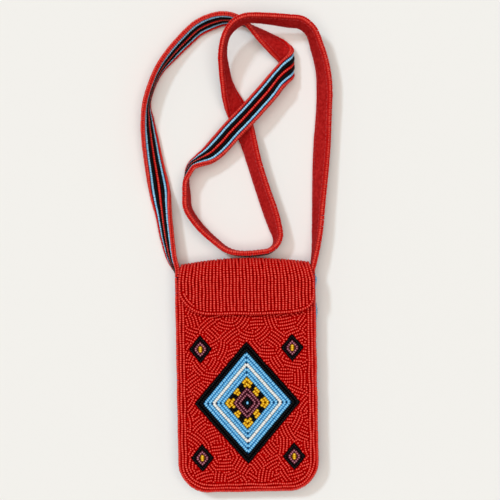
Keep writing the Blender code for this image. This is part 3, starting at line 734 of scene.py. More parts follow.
def swept(name, rings, material, slot, replaced=(), smooth=True):
    """A closed bar through rings of points, with its faces outwards."""
    count, round_it = rings.shape[:2]
    faces = []
    for low in range(0, (count - 1) * round_it, round_it):
        high = low + round_it
        for corner in range(round_it):
            after = (corner + 1) % round_it
            faces.append((low + corner, low + after, high + after, high + corner))
    faces.append(tuple(range(round_it))[::-1])
    faces.append(tuple(range((count - 1) * round_it, count * round_it)))
    piece = add_piece(name, rings.reshape(-1, 3), faces, material, slot, replaced, smooth)
    if volume(piece) < 0:
        piece.data.flip_normals()
    print(name, "volume", round(volume(piece) * 1e9), "mm3")
    return piece


def along_the_strap(name, half_width, height, upper_rim, material, slot, replaced=()):
    """A bar along the whole strap, which knows at each point how far along and across it is."""
    rim = [*upper_rim, *((across, -rise) for across, rise in upper_rim[-2:0:-1])]
    rings = np.stack([
        strap_middles + strap_across * half_width * across + strap_faces * (height + rise)
        for across, rise in rim
    ], 1)
    piece = swept(name, rings, material, slot, replaced)
    write_values(piece, "along", np.repeat(strap_along, len(rim)))
    write_values(piece, "across", np.tile([across * half_width for across, rise in rim], len(rings)))
    return piece


strap_ribbon = along_the_strap(
    "strap_woven_ribbon", RIBBON_HALF_WIDTH, RIBBON_HEIGHT, RIBBON_RIM, woven, "ribbon", ["strap_ribbon"]
)

# %% [markdown]
# Between beads and ribbon lies a strip of canvas that the beads are sewn on. It carries the same
# stripes in darker colours: painted shade that darkens the narrow gaps between the beads in their
# own colour.

# %% The striped canvas between beads and ribbon
CORE_HALF_WIDTH, CORE_HEIGHT = 0.0069, -0.00045
CORE_RIM = ((-1.0, 0.0), (-0.97, 0.0003), (0.97, 0.0003), (1.0, 0.0))
# Darker colours under each kind of bead row: painted shade for the gaps between the beads.
SHADED_GAP_RED, SHADED_GAP_BLACK = linear(120, 6, 5), linear(8, 6, 8)
SHADED_GAP_BLUE, SHADED_GAP_YELLOW, SHADED_GAP_PLUM = linear(22, 74, 122), linear(120, 84, 8), linear(50, 16, 28)
CANVAS_FINENESS, STRIPE_FRAY = 1200.0, 0.03


def gap_shade_canvas(name, carried, reach, fray, stops):
    """Canvas in flat, darker colours that change with a carried number, with slightly frayed borders:
    painted shade for the gaps between beads.
    """
    material, wire, shader = new_material(name, Roughness=0.9, Specular_IOR_Level=0.1)
    thread = wire.noise(CANVAS_FINENESS, 2.0)
    place = abs(wire.carried(carried)) / reach + (thread - 0.5) * fray
    plug(shader, "Base Color", wire.node("ShaderNodeValToRGB", {"stops": stops}, Fac=place))
    return material


striped = gap_shade_canvas("striped canvas", "across", 3.5 * STRAP_ROW, STRIPE_FRAY, [
    (0, SHADED_GAP_RED), (1 / 7, SHADED_GAP_BLACK), (3 / 7, SHADED_GAP_BLUE), (5 / 7, SHADED_GAP_RED)
])
strap_canvas = along_the_strap("strap_canvas", CORE_HALF_WIDTH, CORE_HEIGHT, CORE_RIM, striped, "canvas")

# %% [markdown]
# A line of stitches holds the ribbon to the band along each edge. A stitch is a short twisted
# thread that lies on the ribbon and dives in at both ends, so it is a small bar with a raised
# middle, made once and set down again every three millimetres.

# %% Stitches along the ribbon
STITCH_STEP, STITCH_LENGTH, STITCH_RADIUS = 0.0030, 0.0023, 0.00026
STITCH_INSET, STITCH_HEIGHT = 0.0013, -0.00205
STITCH_SIDES, STITCH_DIVE = 6, 1.4
TWIST_PITCH, TWIST_CONTRAST, FIBRE_FINENESS, FIBRE_SHARE = 0.0005, 0.35, 1500.0, 3.0
THREAD_DEEP, THREAD_PALE = linear(150, 16, 20), linear(204, 44, 44)

stitch = short_bar(STITCH_SIDES, STITCH_RADIUS, STITCH_LENGTH)
select_where("VERT", lambda vertex: abs(abs(vertex.co.x) - STITCH_LENGTH / 2) < CLOSE)
bpy.ops.transform.translate(value=(0, 0, -STITCH_DIVE * STITCH_RADIUS))
bpy.ops.object.mode_set(mode="OBJECT")
stitch_points = np.array([vertex.co for vertex in stitch.data.vertices])
stitch_faces = [tuple(face.vertices) for face in stitch.data.polygons]
bpy.data.objects.remove(stitch)

sewing_thread, wire, shader = new_material("red sewing thread", Roughness=0.6)
fibre = wire.noise(FIBRE_FINENESS, 2.0) * FIBRE_SHARE
twisted = (wire.carried("along") * (2 * math.pi / TWIST_PITCH) + fibre).sine() * TWIST_CONTRAST + 0.5
plug(shader, "Base Color", twisted.clamped().mix(THREAD_DEEP, THREAD_PALE))

places = []
for side in (-1, 1):
    offset = side * (RIBBON_HALF_WIDTH - STITCH_INSET)
    line = strap_middles + strap_across * offset + strap_faces * STITCH_HEIGHT
    places.append(threaded(line, -strap_faces, STITCH_STEP))
places = np.concatenate(places)
way, up = unit(places[:, 1]), unit(places[:, 2])
side = unit(np.cross(up, way))
points = places[:, :1] + stitch_points @ np.stack([way, side, np.cross(way, side)], 1)
faces = [
    tuple(first + corner for corner in face)
    for first in range(0, len(places) * len(stitch_points), len(stitch_points))
    for face in stitch_faces
]
strap_stitches = add_piece("strap_stitches", points.reshape(-1, 3), faces, sewing_thread, "ribbon")
write_values(strap_stitches, "along", np.tile(stitch_points[:, 0], len(places)))
print("strap_stitches", len(places), "stitches")

# %% [markdown]
# ## The back panel and the flap
#
# The back of the bag and its flap are one long cloth, folded over the mouth. Thinking of it laid
# out flat makes the rest easy: u runs across it, s runs up the back, over the fold and down the
# flap, and depth goes in from the outside. One function bends that flat cloth to its place, and
# beads, canvas and lining all go through it, each at its own depth.
#
# The real fold isn't straight: it is highest in the middle and sinks towards both ends.

# %% Bending the flat cloth
FOLD_OUTER_RADIUS = 0.01175
FOLD_CREST_Y = 0.0905
FOLD_Y = FOLD_CREST_Y - FOLD_OUTER_RADIUS
FOLD_TURN = math.pi * FOLD_OUTER_RADIUS
FOLD_HALF_WIDTH = 0.0496
FLAP_START = FOLD_Y + FOLD_TURN
CREST_DROP_LEFT, CREST_DROP_RIGHT, CREST_CURVE = 0.0046, 0.0040, 1.9
DROP_FROM_Y = 0.0600


def smooth_step(low, high, value):
    """From 0 below a range of values to 1 above it, without a corner."""
    share = np.clip((value - low) / (high - low), 0, 1)
    return share * share * (3 - 2 * share)


def flap_s(y):
    """How far along the flat cloth a height on the closed flap's front is, and the other way."""
    return FLAP_START + FOLD_Y - y


def folded(u, s, depth):
    """Places and outward directions of points of the back-and-flap cloth."""
    u, s = np.broadcast_arrays(u, s)
    angle = np.pi * np.clip((s - FOLD_Y) / FOLD_TURN, 0, 1)
    out = FOLD_OUTER_RADIUS - depth
    y = np.minimum(s, FOLD_Y) + out * np.sin(angle) - np.maximum(s - FLAP_START, 0)
    z = FOLD_OUTER_RADIUS - out * np.cos(angle)
    drop = np.where(u < 0, CREST_DROP_LEFT, CREST_DROP_RIGHT)
    drop = drop * (np.abs(u) / FOLD_HALF_WIDTH) ** CREST_CURVE
    y = y - drop * smooth_step(DROP_FROM_Y, FOLD_CREST_Y, y)
    return np.stack([u, y, z], -1), np.stack([0 * u, np.sin(angle), -np.cos(angle)], -1)


print("the flap starts", round(FLAP_START / MM, 1), "mm up the flat cloth")

# %% [markdown]
# The cloth isn't equally wide everywhere either. It is as wide as the bag at the back, a little
# narrower where it passes between the two ends of the strap, and wider again on the flap, which
# sits slightly to the right. The flap's free edge is drawn through a few points, in millimetres:
# its left corner is rounder than its right one.

# %% The cloth's width and the flap's edge
SIDES_TOP = 0.0660
STOPS_S = (0.0, SIDES_TOP, FOLD_Y, FOLD_Y + 0.62 * FOLD_TURN, FLAP_START + 0.004, 0.2)
COLUMN_HALF_WIDTHS = (0.05045, 0.05045, 0.0483, 0.0486, 0.0515, 0.0515)
COLUMN_MIDDLES = (0.0, 0.0, 0.0, 0.0003, 0.0011, 0.0011)
RIM_MM = (
    (-50.3, 66.0), (-50.3, 63.5), (-49.0, 60.4), (-46.5, 56.8), (-43.5, 53.5), (-39.7, 50.9),
    (-35.1, 49.0), (-29.7, 48.0), (-19.7, 47.6), (-8.2, 47.9), (3.3, 47.5), (14.9, 47.6),
    (26.4, 47.8), (34.1, 48.1), (41.8, 49.4), (47.2, 51.3), (50.4, 54.0), (52.2, 58.0),
    (52.6, 62.2), (52.6, 66.0),
)
CORNER_STRAND_MM = ((-47.3, 64.2), (-45.6, 60.0), (-43.2, 56.9), (-40.7, 54.6), (-39.2, 53.6))
EASING_ROUNDS = 6
RIM_STEP = 0.0006


def column_u(share, s):
    """Where a column of beads runs, from its share of the width, -1 to 1."""
    half = np.interp(s, STOPS_S, COLUMN_HALF_WIDTHS)
    return np.interp(s, STOPS_S, COLUMN_MIDDLES) + share * half


def rounded_line(points, step, closed=False):
    """A line through points, at a fixed step, with its corners eased."""
    points = np.asarray(points, float)
    if closed:
        points = np.concatenate([points, points[:1]])
    along = lengths_along(points)
    at = np.linspace(0, along[-1], max(2, int(along[-1] / step)))
    line = np.stack([np.interp(at, along, column) for column in points.T], 1)
    for _ in range(EASING_ROUNDS):
        if closed:
            line[:-1] = (np.roll(line[:-1], 1, 0) + 2 * line[:-1] + np.roll(line[:-1], -1, 0)) / 4
            line[-1] = line[0]
        else:
            line[1:-1] = (line[:-2] + 2 * line[1:-1] + line[2:]) / 4
    return line


def nearest(points, line):
    """How far each point is from a line's points."""
    return np.linalg.norm(points[:, None] - line[None], axis=2).min(1)


rim_line = rounded_line(np.array(RIM_MM) * MM, RIM_STEP)
corner_line = rounded_line(np.array(CORNER_STRAND_MM) * MM, RIM_STEP)
print("flap edge", round(lengths_along(rim_line)[-1] / MM), "mm long")

# %% [markdown]
# The bag's outline is the same at every height: straight sides and two round corners at the
# bottom. The strand round the back follows it, and so do the striped band and the front.

# %% The bag's outline
POUCH_HALF_WIDTH, POUCH_BOTTOM_Y, CORNER_RADIUS = 0.0542, -0.0905, 0.0230
OUTLINE_STEP = 0.0005
WAVES, WAVE_LENGTHS, WAVE_STARTS, WAVES_SUM = 3, (0.6, 1.8), (0, 6.3), 1.7


def facing(angle):
    """The level way that an angle points."""
    return np.stack([np.cos(angle), np.sin(angle)], -1)


def panel_line(inset, top):
    """The line down the bag's left side, round its bottom and up its right side."""
    half, radius = POUCH_HALF_WIDTH - inset, CORNER_RADIUS - inset
    centre = (half - radius, POUCH_BOTTOM_Y + inset + radius)
    corner = centre + radius * facing(np.radians(np.linspace(-90, 0, 17)))
    right = np.concatenate([corner, [(half, top)]])
    return rounded_line(np.concatenate([right[::-1] * (-1, 1), right]), OUTLINE_STEP)


def outwards_of(line):
    """The level ways out of the bag along its outline."""
    ways = np.gradient(line, axis=0)
    return unit(np.stack([ways[:, 1], -ways[:, 0], 0 * ways[:, 0]], 1))


def inside_panel(x, y, inset):
    """Whether points lie inside the bag's outline, drawn in by an inset."""
    half, radius = POUCH_HALF_WIDTH - inset, CORNER_RADIUS - inset
    corner_x = np.maximum(np.abs(x) - (half - radius), 0)
    corner_y = np.maximum(POUCH_BOTTOM_Y + inset + radius - y, 0)
    return np.hypot(corner_x, corner_y) < radius


def wave(at, size, length):
    """A slow random wave along a line."""
    found = np.zeros_like(at)
    for _ in range(WAVES):
        turns = at * 2 * np.pi / (length * rng.uniform(*WAVE_LENGTHS))
        found += np.sin(turns + rng.uniform(*WAVE_STARTS))
    return found * size / WAVES_SUM


print("outline", round(lengths_along(panel_line(0, SIDES_TOP))[-1] / MM), "mm long")

# %% [markdown]
# ## Beads on the back and the flap
#
# Forty columns of red beads run from the bottom of the back, over the fold and down to the flap's
# edge. The two outer ones turn into the strand round the back's outline and into the flap's rim.
# The inner ones stop where they meet those. Columns are never quite straight, so each wavers
# a little, by a slow random wave.

# %% Columns over the back, the fold and the flap
MOUTH_Y, COLUMNS_END_Y = 0.0760, 0.046
COLUMNS, COLUMN_STEP, COLUMN_CLEARANCE = 40, 0.0005, 0.0013
BEAD_DEPTH, BACK_BEAD_DEPTH, DEPTH_CHANGE = 0.0011, 0.0014, 0.01
WAVER, WAVER_LENGTH = 0.00016, 0.02

back_inset = POUCH_HALF_WIDTH - COLUMN_HALF_WIDTHS[0]
outline_u, outline_s = panel_line(back_inset, SIDES_TOP).T
back_beads = [threaded(*folded(outline_u, outline_s, BACK_BEAD_DEPTH))]
flap_beads = []
for column in range(COLUMNS):
    s = np.arange(POUCH_BOTTOM_Y, flap_s(COLUMNS_END_Y), COLUMN_STEP)
    u = column_u(2 * column / (COLUMNS - 1) - 1, s)
    if column in (0, COLUMNS - 1):
        keep = (s >= SIDES_TOP) & (s <= flap_s(SIDES_TOP))
    else:
        u = u + wave(s, WAVER, WAVER_LENGTH)
        keep = (s > 0) | inside_panel(u, s, back_inset + COLUMN_CLEARANCE)
        front = np.stack([u, flap_s(s)], 1)
        near_edge = np.minimum(nearest(front, rim_line), nearest(front, corner_line))
        stopped = (s > FLAP_START) & (near_edge < COLUMN_CLEARANCE)
        if stopped.any():
            keep &= s < s[np.argmax(stopped)]
    depth = np.interp(s, (FOLD_Y - DEPTH_CHANGE, FOLD_Y), (BACK_BEAD_DEPTH, BEAD_DEPTH))
    beads = threaded(*folded(u[keep], s[keep], depth[keep]))
    over = beads[:, 0, 2] > FOLD_OUTER_RADIUS
    back_beads.append(beads[~over])
    flap_beads.append(beads[over])
sewn("back_strands", "red", back_beads, ["back_and_flap_beadwork"])

# %% [markdown]
# The rim is one strand that ends the flap. It stands a little proud, so that its beads look
# larger than the columns' ends, and it wavers as a sewn edge does. At the left a short strand
# inside it fills the round corner.

# %% The flap's rim
RIM_PITCH, RIM_RISE, RIM_BEAD_WIDTH = 0.00184, 0.0002, 1.06
RIM_WAVER, RIM_WAVER_LENGTH = 0.00022, 0.03

rim_x, rim_y = rim_line.T
rim_y = rim_y + wave(rim_x, RIM_WAVER, RIM_WAVER_LENGTH)
rim_beads = threaded(*folded(rim_x, flap_s(rim_y), BEAD_DEPTH - RIM_RISE), RIM_PITCH)
corner_x, corner_y = corner_line.T
flap_beads.append(threaded(*folded(corner_x, flap_s(corner_y), BEAD_DEPTH)))
sewn("flap_rim_strand", "red", [rim_beads], ["flap_rim_beads"], RIM_BEAD_WIDTH)
sewn("flap_strands", "red", flap_beads, ["back_and_flap_beadwork"])

# %% [markdown]
# ## Canvas and lining
#
# Under the beads is a red canvas, and inside that a thin lining. Each is the same flat cloth at
# its own depth. It is made as a grid: rows along s, each as wide as the cloth is there, bent by
# the same function, and given its thickness by a Solidify modifier.

# %% The folded cloths
CLOTH_COLUMNS = 32
FLAT_ROWS, BENT_ROWS = np.arange(-0.066, 0.070, 0.008), np.linspace(0.0705, FLAP_START + 0.014, 34)
CANVAS_DEPTH, CANVAS_THICKNESS = 0.0025, 0.0008
LINING_DEPTH, LINING_THICKNESS = 0.0043, 0.0004
BACK_HALF_WIDTH, BACK_END, BACK_CORNER = 0.0517, 0.0025, 0.0205
FLAP_OVERHANG, FLAP_TIP_Y, FLAP_CORNER = 0.0008, 0.0483, 0.0150


def cloth_limits(s, back_inset, flap_inset):
    """Left and right end of the cloth at s."""
    y = flap_s(s)
    if s < FOLD_Y:
        half = np.interp(s, (SIDES_TOP, FOLD_Y), (BACK_HALF_WIDTH, FOLD_HALF_WIDTH)) - back_inset
        inset = POUCH_HALF_WIDTH - half
        radius = CORNER_RADIUS - inset
        below = POUCH_BOTTOM_Y + inset + radius - s
        if below > 0:
            half -= radius - math.sqrt(max(radius**2 - below**2, 0))
        return -half, half
    if y > SIDES_TOP:
        return column_u(-1, s) - FLAP_OVERHANG + flap_inset, column_u(1, s) + FLAP_OVERHANG - flap_inset
    low = int(np.argmin(rim_line[:, 1]))
    left, right = rim_line[: low + 1], rim_line[low:]
    return (
        np.interp(y, left[::-1, 1], left[::-1, 0]) + flap_inset,
        np.interp(y, right[:, 1], right[:, 0]) - flap_inset,
    )


def folded_cloth(name, depth, thickness, back_inset, flap_inset, material, slot, node):
    """A cloth of the back and the flap, as a grid that is given its thickness."""
    bottom = POUCH_BOTTOM_Y + BACK_END + back_inset
    tip_y = FLAP_TIP_Y + flap_inset
    tip = flap_s(tip_y)
    corner = np.radians(np.linspace(0, 90, 9)[1:])
    rows = {
        bottom, *(bottom + BACK_CORNER * (1 - np.cos(corner))), *FLAT_ROWS, *BENT_ROWS,
        *flap_s(tip_y + FLAP_CORNER * (1 - np.sin(corner[:-1]))), tip,
    }
    rows = sorted(row for row in rows if bottom <= row <= tip)
    limits = [cloth_limits(row, back_inset, flap_inset) for row in rows]
    share = np.linspace(0, 1, CLOTH_COLUMNS + 1)
    u = np.stack([low + (high - low) * share for low, high in limits])
    points, _ = folded(u, np.array(rows)[:, None], depth)
    faces = []
    for start in range(0, (len(rows) - 1) * len(share), len(share)):
        for first in range(start, start + CLOTH_COLUMNS):
            faces.append((first, first + len(share), first + len(share) + 1, first + 1))
    piece = add_piece(name, points.reshape(-1, 3), faces, material, slot, [node])
    thick = piece.modifiers.new("thickness", "SOLIDIFY")
    thick.thickness, thick.offset = thickness, -1
    bpy.ops.object.select_all(action="DESELECT")
    bpy.context.view_layer.objects.active = piece
    piece.select_set(True)
    bpy.ops.object.modifier_apply(modifier=thick.name)
    wide = np.array([high - low for low, high in limits])
    area = float(((wide[1:] + wide[:-1]) / 2 * np.diff(rows)).sum())
    print(name, "volume", round(volume(piece) * 1e9), "mm3, flat area", round(area * 1e4), "cm2")
    float(tip - bottom)


# The canvas's red is partly its own colour and partly painted light: it is kept bright to lift the shade
# in the narrow gaps between beads, where it shows.
CANVAS_DEEP, CANVAS_PALE = linear(205, 1, 0), linear(232, 8, 4)
LINING_DEEP, LINING_PALE = linear(120, 14, 18), linear(156, 26, 28)
WEAVE_SHARE, SLUB_SHARE, WEAVE_LEVEL = 0.55, 0.9, 0.25


def plain_weave(name, deep, pale, pitch, roughness, sheen, axes=(0, 1)):
    """Plain woven cloth in the plane of two object axes: threads over and under each other."""
    material, wire, shader = new_material(
        name, Roughness=roughness, Sheen_Weight=sheen, Specular_IOR_Level=0.05
    )
    first, second = (
        wire.node("ShaderNodeSeparateXYZ", output=axis, Vector=wire.place()).waves(pitch)
        for axis in axes
    )
    weave, slub = first * second * 0.5 + 0.5, wire.noise(120.0, 4.0)
    shade = weave * WEAVE_SHARE + slub * SLUB_SHARE - WEAVE_LEVEL
    plug(shader, "Base Color", shade.clamped().mix(deep, pale))
    height = weave + slub * 0.4
    plug(shader, "Normal", wire.node("ShaderNodeBump", Strength=0.6, Distance=RELIEF, Height=height))
    return material


canvas = plain_weave("red canvas", CANVAS_DEEP, CANVAS_PALE, 0.0009, 0.85, 0.0)
lining = plain_weave("red lining", LINING_DEEP, LINING_PALE, 0.0004, 0.55, 0.3)
folded_cloth(
    "folded_canvas", CANVAS_DEPTH, CANVAS_THICKNESS, 0.0, 0.0, canvas, "canvas", "back_and_flap_canvas"
)
folded_cloth(
    "folded_lining", LINING_DEPTH, LINING_THICKNESS, 0.0017, 0.0008, lining, "lining",
    "back_and_flap_lining",
)

# %% [markdown]
# ## The striped band round the sides
#
# The same seven rows as the strap's run down one side of the bag, round its bottom and up the
# other. From above only the top row shows, apart from two places at the right, where the band
# bulges out beside the flap's corner and shows its blue. A bulge has a height along the side, a
# reach and a size, and each row takes its own share of it.

# %% Rows of beads round the sides
BULGES = ((0.0480, 0.0060, 0.0016), (0.0725, 0.0035, 0.0016))
BULGE_ROWS = (0.1, 0.3, 0.5, 0.75, 1.0, 0.9, 0.15)
SIDE_INSET, SIDE_LEAN = 0.0011, 0.5
SIDE_WAVER, SIDE_WAVER_LENGTH = 0.00012, 0.03


def at_height(line, z):
    """A flat line, lifted to a height."""
    return np.c_[line, np.full(len(line), z)]


side_line = panel_line(SIDE_INSET, MOUTH_Y)
outwards = outwards_of(side_line)
side_beads = {"red": [], "blue": [], "black": []}
near = sum(size * np.exp(-(((side_line[:, 1] - y) / reach) ** 2)) for y, reach, size in BULGES)
near = near * (side_line[:, 0] > 0)
for row, colour in enumerate(ROW_COLOURS):
    sway = wave(np.arange(len(side_line)) * OUTLINE_STEP, SIDE_WAVER, SIDE_WAVER_LENGTH)
    sway = sway + near * BULGE_ROWS[row]
    line = at_height(side_line, BAND_Z + BEAD_ROW * (row + 0.5)) + outwards * sway[:, None]
    # Each row leans up or down by its distance from the middle row, which turns its beads and their
    # painted highlight, so the top rows show it from above.
    leaning = unit(outwards + np.array((0, 0, (row - MIDDLE_ROW) * SIDE_LEAN)))
    side_beads[colour].append(threaded(line, leaning))
# The side's beads take the broader, weaker painted highlight of beads seen from their side.
for colour, beads in side_beads.items():
    sewn(f"side_{colour}_strands", colour, beads, ["gusset_beadwork"], painted_light=bead_edge_painted_light)

# %% [markdown]
# ## The front
#
# The front has two strands that follow its outline, a large diamond built of strands inside each
# other, a small diamond towards each corner, and a red ground that fills the rest. The ground is
# the hard part: its short rows run in all directions, in little fans that never cross. To keep
# them apart, every bead that is sewn is drawn on a fine grid, and a new bead is only taken where
# the grid is still free.

# %% A grid that remembers where beads are
FRONT_BEAD_Z = 0.0168
CELL = 0.0002
GRID_LOW, GRID_SIZE = np.array((-0.056, -0.092)), (560, 850)
FOOT_ALONG, FOOT_ACROSS = 0.86, 0.84

taken = np.zeros(GRID_SIZE, bool)
xs, ys = (low + np.arange(size) * CELL for low, size in zip(GRID_LOW, GRID_SIZE))
grid = np.stack(np.meshgrid(xs, ys, indexing="ij"), -1)
foot_along = np.linspace(-0.5, 0.5, 7) * BEAD_LENGTH * FOOT_ALONG
foot_across = np.linspace(-0.5, 0.5, 11) * BEAD_WIDTH * FOOT_ACROSS


def feet(places, ways):
    """Grid cells under beads, as two arrays of one row per bead."""
    across = np.stack([-ways[:, 1], ways[:, 0]], 1)
    points = (
        places[:, None, None]
        + ways[:, None, None] * foot_along[None, :, None, None]
        + across[:, None, None] * foot_across[None, None, :, None]
    )
    cells = np.round((points - GRID_LOW) / CELL).astype(int).reshape(len(places), -1, 2)
    return np.clip(cells[..., 0], 0, GRID_SIZE[0] - 1), np.clip(cells[..., 1], 0, GRID_SIZE[1] - 1)


def take(places, ways):
    taken[feet(places, ways)] = True


def share_taken(places, ways):
    return taken[feet(places, ways)].mean(1)


def flat_strand(line):
    """Beads along a line on the front, which are also marked on the grid."""
    beads = threaded(at_height(line, FRONT_BEAD_Z), (0, 0, 1))
    take(beads[:, 0, :2], unit(beads[:, 1, :2]))
    return beads


print("the grid has", taken.size, "cells")

# %% [markdown]
# The outline strands come first. Then everything outside them, the place of the snap under the
# flap and the binding along the mouth are marked as taken, so that no ground bead strays there.

# %% Outline strands and the edges of the ground
FRONT_TOP_Y = 0.0713
OUTLINE_INSETS, GROUND_INSET = (0.00335, 0.00586), 0.0071
SNAP_Y, SNAP_CLEARANCE = 0.0630, 0.0071
OUTLINE_WAVER, OUTLINE_WAVER_LENGTH = 0.0002, 0.02

outline_beads = []
for inset in OUTLINE_INSETS:
    line = panel_line(inset, FRONT_TOP_Y)
    sway = wave(np.arange(len(line)) * OUTLINE_STEP, OUTLINE_WAVER, OUTLINE_WAVER_LENGTH)
    outline_beads.append(flat_strand(line + outwards_of(line)[:, :2] * sway[:, None]))
grid_x, grid_y = grid[..., 0], grid[..., 1]
taken |= ~inside_panel(grid_x, grid_y, GROUND_INSET) | (grid_y > FRONT_TOP_Y)
taken |= np.hypot(grid_x, grid_y - SNAP_Y) < SNAP_CLEARANCE
sewn("front_outline_strands", "red", outline_beads, ["front_outline_beads"])

# %% [markdown]
# Where the side band meets the front, the canvas is bound with a narrow red tape under the beads.
# It is a low bar along the bag's outline, and it keeps the side's other colours from showing
# through the seam.

# %% The tape along the seam
TAPE_INSET, TAPE_HALF_WIDTH = 0.0027, 0.0011
TAPE_Z, TAPE_HALF_HEIGHT = 0.0158, 0.0002
TAPE_SPARSER = 4

tape_line = panel_line(TAPE_INSET, FRONT_TOP_Y)[::TAPE_SPARSER]
tape_middles, tape_across = at_height(tape_line, TAPE_Z), outwards_of(tape_line)
rings = np.stack([
    tape_middles + tape_across * TAPE_HALF_WIDTH * out + np.array((0, 0, TAPE_HALF_HEIGHT)) * up
    for out, up in ((-1, -1), (1, -1), (1, 1), (-1, 1))
], 1)
swept("front_seam_tape", rings, canvas, "canvas", smooth=False)

# %% [markdown]
# The diamond is drawn as closed strands, each one bead row further in. Its colours go from a
# black rim over light blue with a white line to a chain of yellow and black blocks, and to a plum
# and black heart. A block is just a run of beads of one colour, so a strand may carry several.
# A diamond is written down as its middle, its half width and its half height.

# %% The large diamond
LARGE_DIAMOND = (np.array((0.0, -0.02185)), 0.0410, 0.04745)
LARGE_RINGS = (
    "black", "black", "blue", "blue", "white", "blue", "blue", "blocks", "blocks", "plum", "plum",
    "black",
)
BLOCKS_TO_A_SIDE = 5
HEART_LEFT, HEART_RIGHT = (-0.0006, 0), (0.0008, 0)
DIAMOND_STEP = 0.0004


def middle_to_side(diamond):
    return diamond[1] * diamond[2] / math.hypot(*diamond[1:])


def diamond_line(diamond, ring):
    """The closed line of a ring of beads inside a diamond, with its corners eased."""
    share = 1 - (ring + 0.5) * BEAD_ROW / middle_to_side(diamond)
    middle, across, up = diamond[0], diamond[1] * share, diamond[2] * share
    points = np.array([(across, 0), (0, up), (-across, 0), (0, -up)])
    return rounded_line(points + middle, DIAMOND_STEP, closed=True)


def shares_out(points, diamond):
    """How far out points are, across and up. On the diamond's edge the two add up to 1."""
    return np.abs((points - diamond[0]) / diamond[1:])


def fill(diamond):
    """Mark a diamond as taken."""
    taken[shares_out(grid, diamond).sum(-1) < 1] = True


motif_beads = {"black": [], "blue": [], "white": [], "yellow": [], "plum": []}
for ring, colour in enumerate(LARGE_RINGS):
    beads = flat_strand(diamond_line(LARGE_DIAMOND, ring))
    if colour != "blocks":
        motif_beads[colour].append(beads)
        continue
    across, up = shares_out(beads[:, 0, :2], LARGE_DIAMOND).T
    blocks = np.floor(up / (across + up) * BLOCKS_TO_A_SIDE).astype(int) % 2
    for turn, name in enumerate(("yellow", "black")):
        motif_beads[name].append(beads[blocks == turn])
fill(LARGE_DIAMOND)
heart = np.linspace(LARGE_DIAMOND[0] + HEART_LEFT, LARGE_DIAMOND[0] + HEART_RIGHT, 6)
motif_beads["blue"].append(flat_strand(heart))
print("rings in the large diamond:", len(LARGE_RINGS))

# %% [markdown]
# The four small diamonds have a black rim, a plum row and a yellow middle.

# %% The small diamonds
SMALL_SIZE = (0.0090, 0.0110)
SMALL_PLACE = (0.0355, 0.0420)
SMALL_RINGS = ("black", "plum")
SMALL_HEART = (0, 0.0022)
CORNERS = {"upper_left": (-1, 1), "upper_right": (1, 1), "lower_left": (-1, -1), "lower_right": (1, -1)}

small_diamonds = {
    corner: (LARGE_DIAMOND[0] + np.array(way) * SMALL_PLACE, *SMALL_SIZE)
    for corner, way in CORNERS.items()
}
for corner in ("lower_left", "upper_left", "lower_right", "upper_right"):
    small = small_diamonds[corner]
    for ring, colour in enumerate(SMALL_RINGS):
        motif_beads[colour].append(flat_strand(diamond_line(small, ring)))
    heart = np.linspace(small[0] - SMALL_HEART, small[0] + SMALL_HEART, 6)
    motif_beads["yellow"].append(flat_strand(heart))
    fill(small)
motif_nodes = {
    "black": ["motif_border"], "blue": ["motif_field"], "yellow": ["motif_blocks"],
    "plum": ["motif_heart", *(f"small_motif_{corner}" for corner in CORNERS)],
}

# %% [markdown]
# Under all five diamonds lies a thin plate, coloured in darker rings that follow the beads above:
# painted shade that tints the gaps between the beads in their own colours. Each backing's points
# carry how far out they are, from 0 in the middle to 1 on the edge, so the painted shade can follow
# the rings.

# %% Painted shade under the diamonds
BACKING_LOW, BACKING_THICKNESS = 0.01541, 0.00024


def backing(name, diamond, material):
    """A thin diamond under the beads, coloured with painted shade."""
    middle, half_width, half_height = diamond
    bpy.ops.object.select_all(action="DESELECT")
    bpy.ops.mesh.primitive_circle_add(
        vertices=4, radius=half_height, fill_type="TRIFAN", location=(*middle, BACKING_LOW)
    )
    piece = bpy.context.object
    piece.name = name
    piece.scale = (half_width / half_height, 1, 1)
    bpy.ops.object.transform_apply(location=True, rotation=True, scale=True)
    bpy.ops.object.mode_set(mode="EDIT")
    bpy.ops.mesh.select_all(action="SELECT")
    bpy.ops.mesh.extrude_region_move(TRANSFORM_OT_translate={"value": (0, 0, BACKING_THICKNESS)})
    bpy.ops.mesh.select_all(action="SELECT")
    bpy.ops.mesh.normals_make_consistent(inside=False)
    bpy.ops.object.mode_set(mode="OBJECT")
    places = np.array([vertex.co for vertex in piece.data.vertices])[:, :2]
    write_values(piece, "out", shares_out(places, diamond).sum(1))
    dressed(piece, material, "canvas")
    print(name, "volume", round(volume(piece) * 1e9), "mm3")


borders = [1 - ring * BEAD_ROW / middle_to_side(LARGE_DIAMOND) for ring in (11, 9, 7, 2)]
gap_shades = [SHADED_GAP_BLACK, SHADED_GAP_PLUM, SHADED_GAP_YELLOW, SHADED_GAP_BLUE, SHADED_GAP_BLACK]
backing("motif_backing", LARGE_DIAMOND, gap_shade_canvas(
    "diamond gap shade", "out", 1.0, 0.02, list(zip([0, *borders], gap_shades))
))
small_gap_shade = gap_shade_canvas("small diamond gap shade", "out", 1.0, 0.02, [
    (0, SHADED_GAP_YELLOW), (0.28, SHADED_GAP_PLUM), (0.64, SHADED_GAP_BLACK)
])
for corner, small in small_diamonds.items():
    backing(f"small_backing_{corner}", small, small_gap_shade)
for colour, beads in motif_beads.items():
    sewn(f"motif_{colour}_strands", colour, beads, motif_nodes.get(colour, ()))

# %% [markdown]
# The ground is sewn as a person does it: a patch of five or six short curved rows, then the next
# patch in another direction. Each patch has a middle, and its rows are arcs round a far centre.
# A row only keeps the beads that are nearest to its own patch's middle and that lie on free
# cloth. Then single rows are grown into the gaps that are left.

